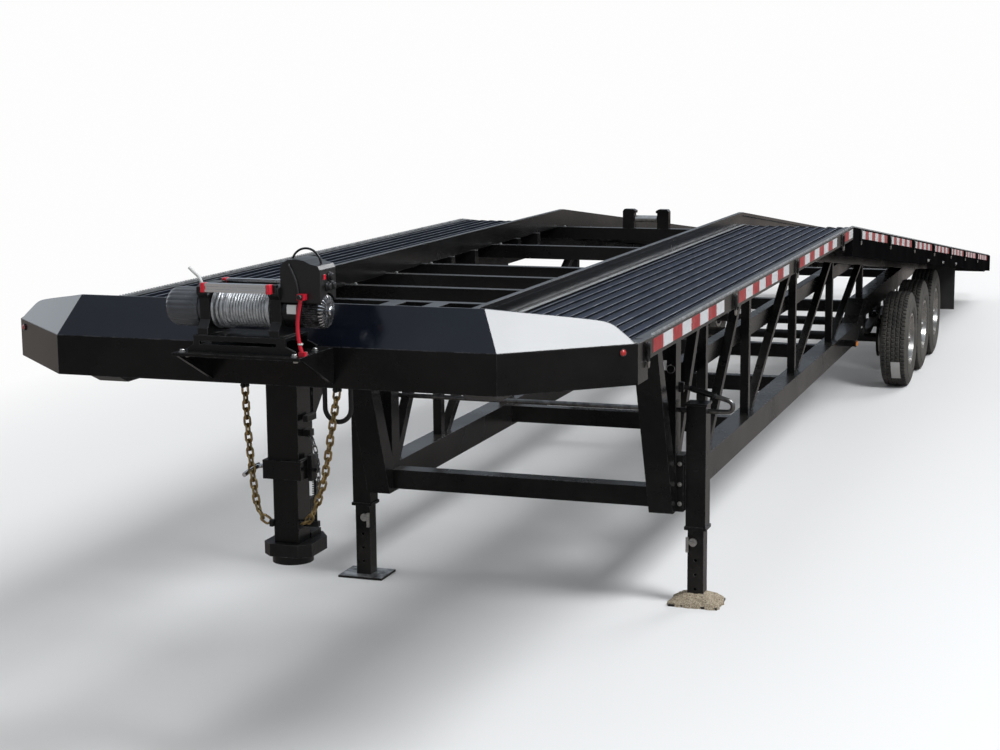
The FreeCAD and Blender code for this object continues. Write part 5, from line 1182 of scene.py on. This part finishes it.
class HAULER_OT_jacks(bpy.types.Operator):
    """Jack crank bent from tube with its grip, a small ring, a bare sticker and the sand over one foot"""
    bl_idname = "hauler.jacks"
    bl_label = "Jack fittings"

    def execute(self, context):
        y, tube = CRANK_Y, circle(0.0122, 16)
        arm = route((0.969, y, 1.0), (1.020, y, 1.0), (1.060, y, 1.001), (1.078, y, 1.006), (1.089, y, 1.020),
                    (1.0885, y, 1.040), (1.077, y, 1.054), (1.055, y, 1.063), (1.000, y, 1.078))
        bars = [swept(route((-0.867, y, 1.0), (0.867, y, 1.0)), circle(0.0125, 16), BACK),
                swept(curve_through(arm, 70), tube, BACK),
                swept(route((0.872, y, 1.1115), (0.820, y, 1.1245)), tube, BACK)]
        new_piece("crank_bar", merged(bars), "worn_steel", smooth=50.0,
                  replaces=("jack_crank",))
        grip = curve_through(route((1.004, y, 1.0768), (0.935, y, 1.0957), (0.868, y, 1.1126)), 24)
        swell = 0.0150 - 0.0022 * np.abs(np.linspace(-1.0, 1.0, 24)) ** 8
        shape = swept(grip, circle(1.0, 16)[None] * swell[:, None, None], BACK)
        new_piece("crank_grip", shape, "winch_plastic", smooth=50.0,
                  replaces=("jack_crank",))
        turn = angles(40)
        ring = at(0.804, 2.835, 1.230) + 0.020 * np.stack([np.cos(turn), np.zeros(40), np.sin(turn)], 1)
        stud = lathe((0.0, 0.0, 0.008, 0.008), (0.0, 0.005, 0.005, 0.0), 10)
        parts = [swept(ring, circle(0.0022, 6), BACK, loop=True),
                 set_along(stud, [at(0.804, 2.841, 1.250)], FORWARD)]
        new_piece("hitch_ring", merged(parts), "bare_steel", smooth=60.0)
        new_piece("bare_sticker", cuboid(at(0.752, 2.8392, 1.222), at(0.782, 2.8402, 1.272)), "pale_plastic")
        new_piece("sand_heap", self.sand(), "sand", smooth=60.0)
        return {"FINISHED"}

    def sand(self):
        """Sand on one foot: z = 0.014 + 0.052 (1 - q)^0.75 plus sines of x and y that die out at the edge.

        q runs from 0 at the leg's rounded square to 1 at the foot's, which three more sines make ragged.
        """
        rows, columns = 30, 72
        turn = angles(columns)
        reach = np.linspace(0.0, 1.0, rows)[:, None]
        square = (np.abs(np.cos(turn)) ** 9 + np.abs(np.sin(turn)) ** 9) ** (-1 / 9)
        ragged = 1.0 + 0.03 * reach * (np.sin(7 * turn + 1.0) + np.sin(17 * turn) + 0.7 * np.sin(29 * turn))
        leg, foot_x, foot_y = 0.036, 0.131, 0.104
        x = (leg + (foot_x - leg) * reach) * square * ragged * np.cos(turn)
        y = (leg + (foot_y - leg) * reach) * square * ragged * np.sin(turn)
        waves = ((63, 41, 0.0), (151, -97, 1.0), (87, 233, 2.0))
        rough = sum(np.sin(a * x + b * y + start) for a, b, start in waves) / 3
        height = 0.014 + 0.052 * (1.0 - reach) ** 0.75 + 0.005 * rough * (1.0 - reach ** 6) * (0.3 + reach)
        height = np.where(reach > 0.985, 0.006, height)
        top = np.stack([x + JACK_X, y + JACK_Y + FACE_Y, height], -1)
        flat = np.array([1.0, 1.0, 0.0])
        return stacked(np.concatenate([top, top[-1:] * flat + (0.0, 0.0, 0.0004),
                                       top[:1] * flat + (0.0, 0.0, 0.0122)]), loop=True)


class HAULER_OT_neck_fittings(bpy.types.Operator):
    """Handle of the set pin, latch spring and short dark chain on the neck, and a pale metal sheet of painted
    sheen on one foot's top
    """
    bl_idname = "hauler.neck_fittings"
    bl_label = "Neck fittings"

    def execute(self, context):
        handle = route((-0.086, 0.136, 1.2395), (-0.112, 0.134, 1.2395), (-0.126, 0.118, 1.236),
                       (-0.134, 0.085, 1.228), (-0.139, 0.052, 1.220))
        new_piece("set_pin_handle", swept(curve_through(handle, 30), circle(0.0088, 12), UP), "bright_silver",
                  smooth=60.0)
        turns = np.linspace(0.0, 9 * math.tau, 9 * 20)
        coil = at(0.099, 0.166, 0.0) + np.stack([0.0105 * np.cos(turns), 0.0105 * np.sin(turns),
                                                 np.linspace(1.110, 1.188, len(turns))], 1)
        rod = route((0.099, 0.166, 1.020), (0.099, 0.166, 1.192))
        parts = [swept(coil, circle(0.0021, 6), UP), swept(rod, circle(0.0055, 10), BACK),
                 cuboid(at(0.050, 0.156, 1.012), at(0.112, 0.176, 1.034)),
                 cuboid(at(0.052, 0.150, 1.360), at(0.092, 0.184, 1.386)),
                 cuboid(at(0.074, 0.126, 1.420), at(0.094, 0.204, 1.444))]
        new_piece("latch_spring", merged(parts), "cast_black", bevel=0.002)
        hang = route((0.0865, 0.158, 1.366), (0.108, 0.150, 1.330), (0.122, 0.146, 1.250),
                     (0.118, 0.150, 1.160), (0.100, 0.150, 1.092), (0.084, 0.152, 1.050),
                     (0.066, 0.160, 1.028))
        new_piece("pin_chain", chain(hang, 0.0235, 0.0085, (0.0062, 0.0068), 0.0024, 20, 6), "worn_steel",
                  smooth=60.0)
        # Painted sheen: a thin pale metal sheet on the right foot's top stands for light glinting on it.
        sheet = cuboid(at(-JACK_X - 0.124, JACK_Y - 0.099, 0.0118),
                       at(-JACK_X + 0.124, JACK_Y + 0.099, 0.0128))
        new_piece("foot_sheen_sheet", sheet, "sheen_plate")
        return {"FINISHED"}


class HAULER_OT_lamps(bpy.types.Operator):
    """Marker and tail lamps with domed lenses in thin rims"""
    bl_idname = "hauler.lamps"
    bl_label = "Lamps"

    def execute(self, context):
        dome = lathe((0.0, 0.0, 0.3, 0.55, 0.72, 0.8), (0.0, 1.0, 0.97, 0.8, 0.5, 0.2), 28)
        rim = lathe((0.0, 0.0, 0.35, 0.42, 0.42, 0.2), (0.86, 1.12, 1.12, 1.04, 0.98, 0.92), 28, loop=True)
        run, width = FOLD_RUN, HALF_WIDTH - FOLD_X
        spots = [at(side * 1.250, (1.250 - FOLD_X) * run / width, 1.700) for side in (1.0, -1.0)]
        turns = facing([(side * run, -width, 0.0) for side in (1.0, -1.0)]) * 0.0125
        new_piece("front_marker_lenses", repeated(dome, spots, turns), "red_lens", smooth=60.0,
                  replaces=("marker_lamps",))
        new_piece("front_marker_rims", repeated(rim, spots, turns), "motor_black",
                  replaces=("marker_lamps",))
        sides = [cuboid(at(x, 8.220, 0.576), at(x + 0.0115, 8.280, 0.606), 0.004) for x in (0.926, -0.9375)]
        new_piece("side_marker_lenses", merged(sides), "amber_lens", bevel=0.003,
                  replaces=("marker_lamps",))
        tail_y = TRAILER_LENGTH - 0.012
        spots, size = [at(x, tail_y, 0.420) for x in (0.980, 1.120, -0.980, -1.120)], (0.014, 0.048, 0.048)
        new_piece("tail_lenses", set_along(dome, spots, BACK, size), "red_lens", smooth=60.0,
                  replaces=("tail_lamps",))
        new_piece("tail_rims", set_along(rim, spots, BACK, size), "flap_rubber",
                  replaces=("tail_lamps",))
        spots = [at(x, tail_y, 0.420) for x in (-0.150, 0.0, 0.150)]
        new_piece("rear_marker_lenses", set_along(dome, spots, BACK, (0.014, 0.011, 0.011)), "red_lens",
                  smooth=60.0, replaces=("tail_lamps",))
        return {"FINISHED"}


class HAULER_PT_pieces(bpy.types.Panel):
    """Lists the pieces and their settings"""
    bl_idname = "HAULER_PT_pieces"
    bl_label = "Car hauler"
    bl_space_type = "VIEW_3D"
    bl_region_type = "UI"
    bl_category = "Hauler"

    def draw(self, context):
        settings = context.scene.hauler_sizes
        for name in HaulerSizes.__annotations__:
            self.layout.prop(settings, name)
        for operator in STEPS:
            self.layout.operator(operator.bl_idname)


STEPS = (
    HAULER_OT_stage, HAULER_OT_finishes, HAULER_OT_fascia, HAULER_OT_tyres, HAULER_OT_wheel_fittings,
    HAULER_OT_tape, HAULER_OT_grip_strips, HAULER_OT_hooks, HAULER_OT_chains, HAULER_OT_rope,
    HAULER_OT_winch_cases, HAULER_OT_winch_trim, HAULER_OT_bolts, HAULER_OT_jacks, HAULER_OT_neck_fittings,
    HAULER_OT_lamps,
)
CLASSES = (HaulerSizes, *STEPS, HAULER_PT_pieces)


def register():
    """Registers the classes and hangs the settings on the scene."""
    for made in CLASSES:
        bpy.utils.register_class(made)
    bpy.types.Scene.hauler_sizes = bpy.props.PointerProperty(type=HaulerSizes)


def unregister():
    """Takes the settings and the classes away again."""
    del bpy.types.Scene.hauler_sizes
    for made in reversed(CLASSES):
        bpy.utils.unregister_class(made)


def main():
    """Builds everything in order."""
    register()
    for operator in STEPS:
        group, name = operator.bl_idname.split(".")
        getattr(getattr(bpy.ops, group), name)()


if __name__ == "__main__":
    main()
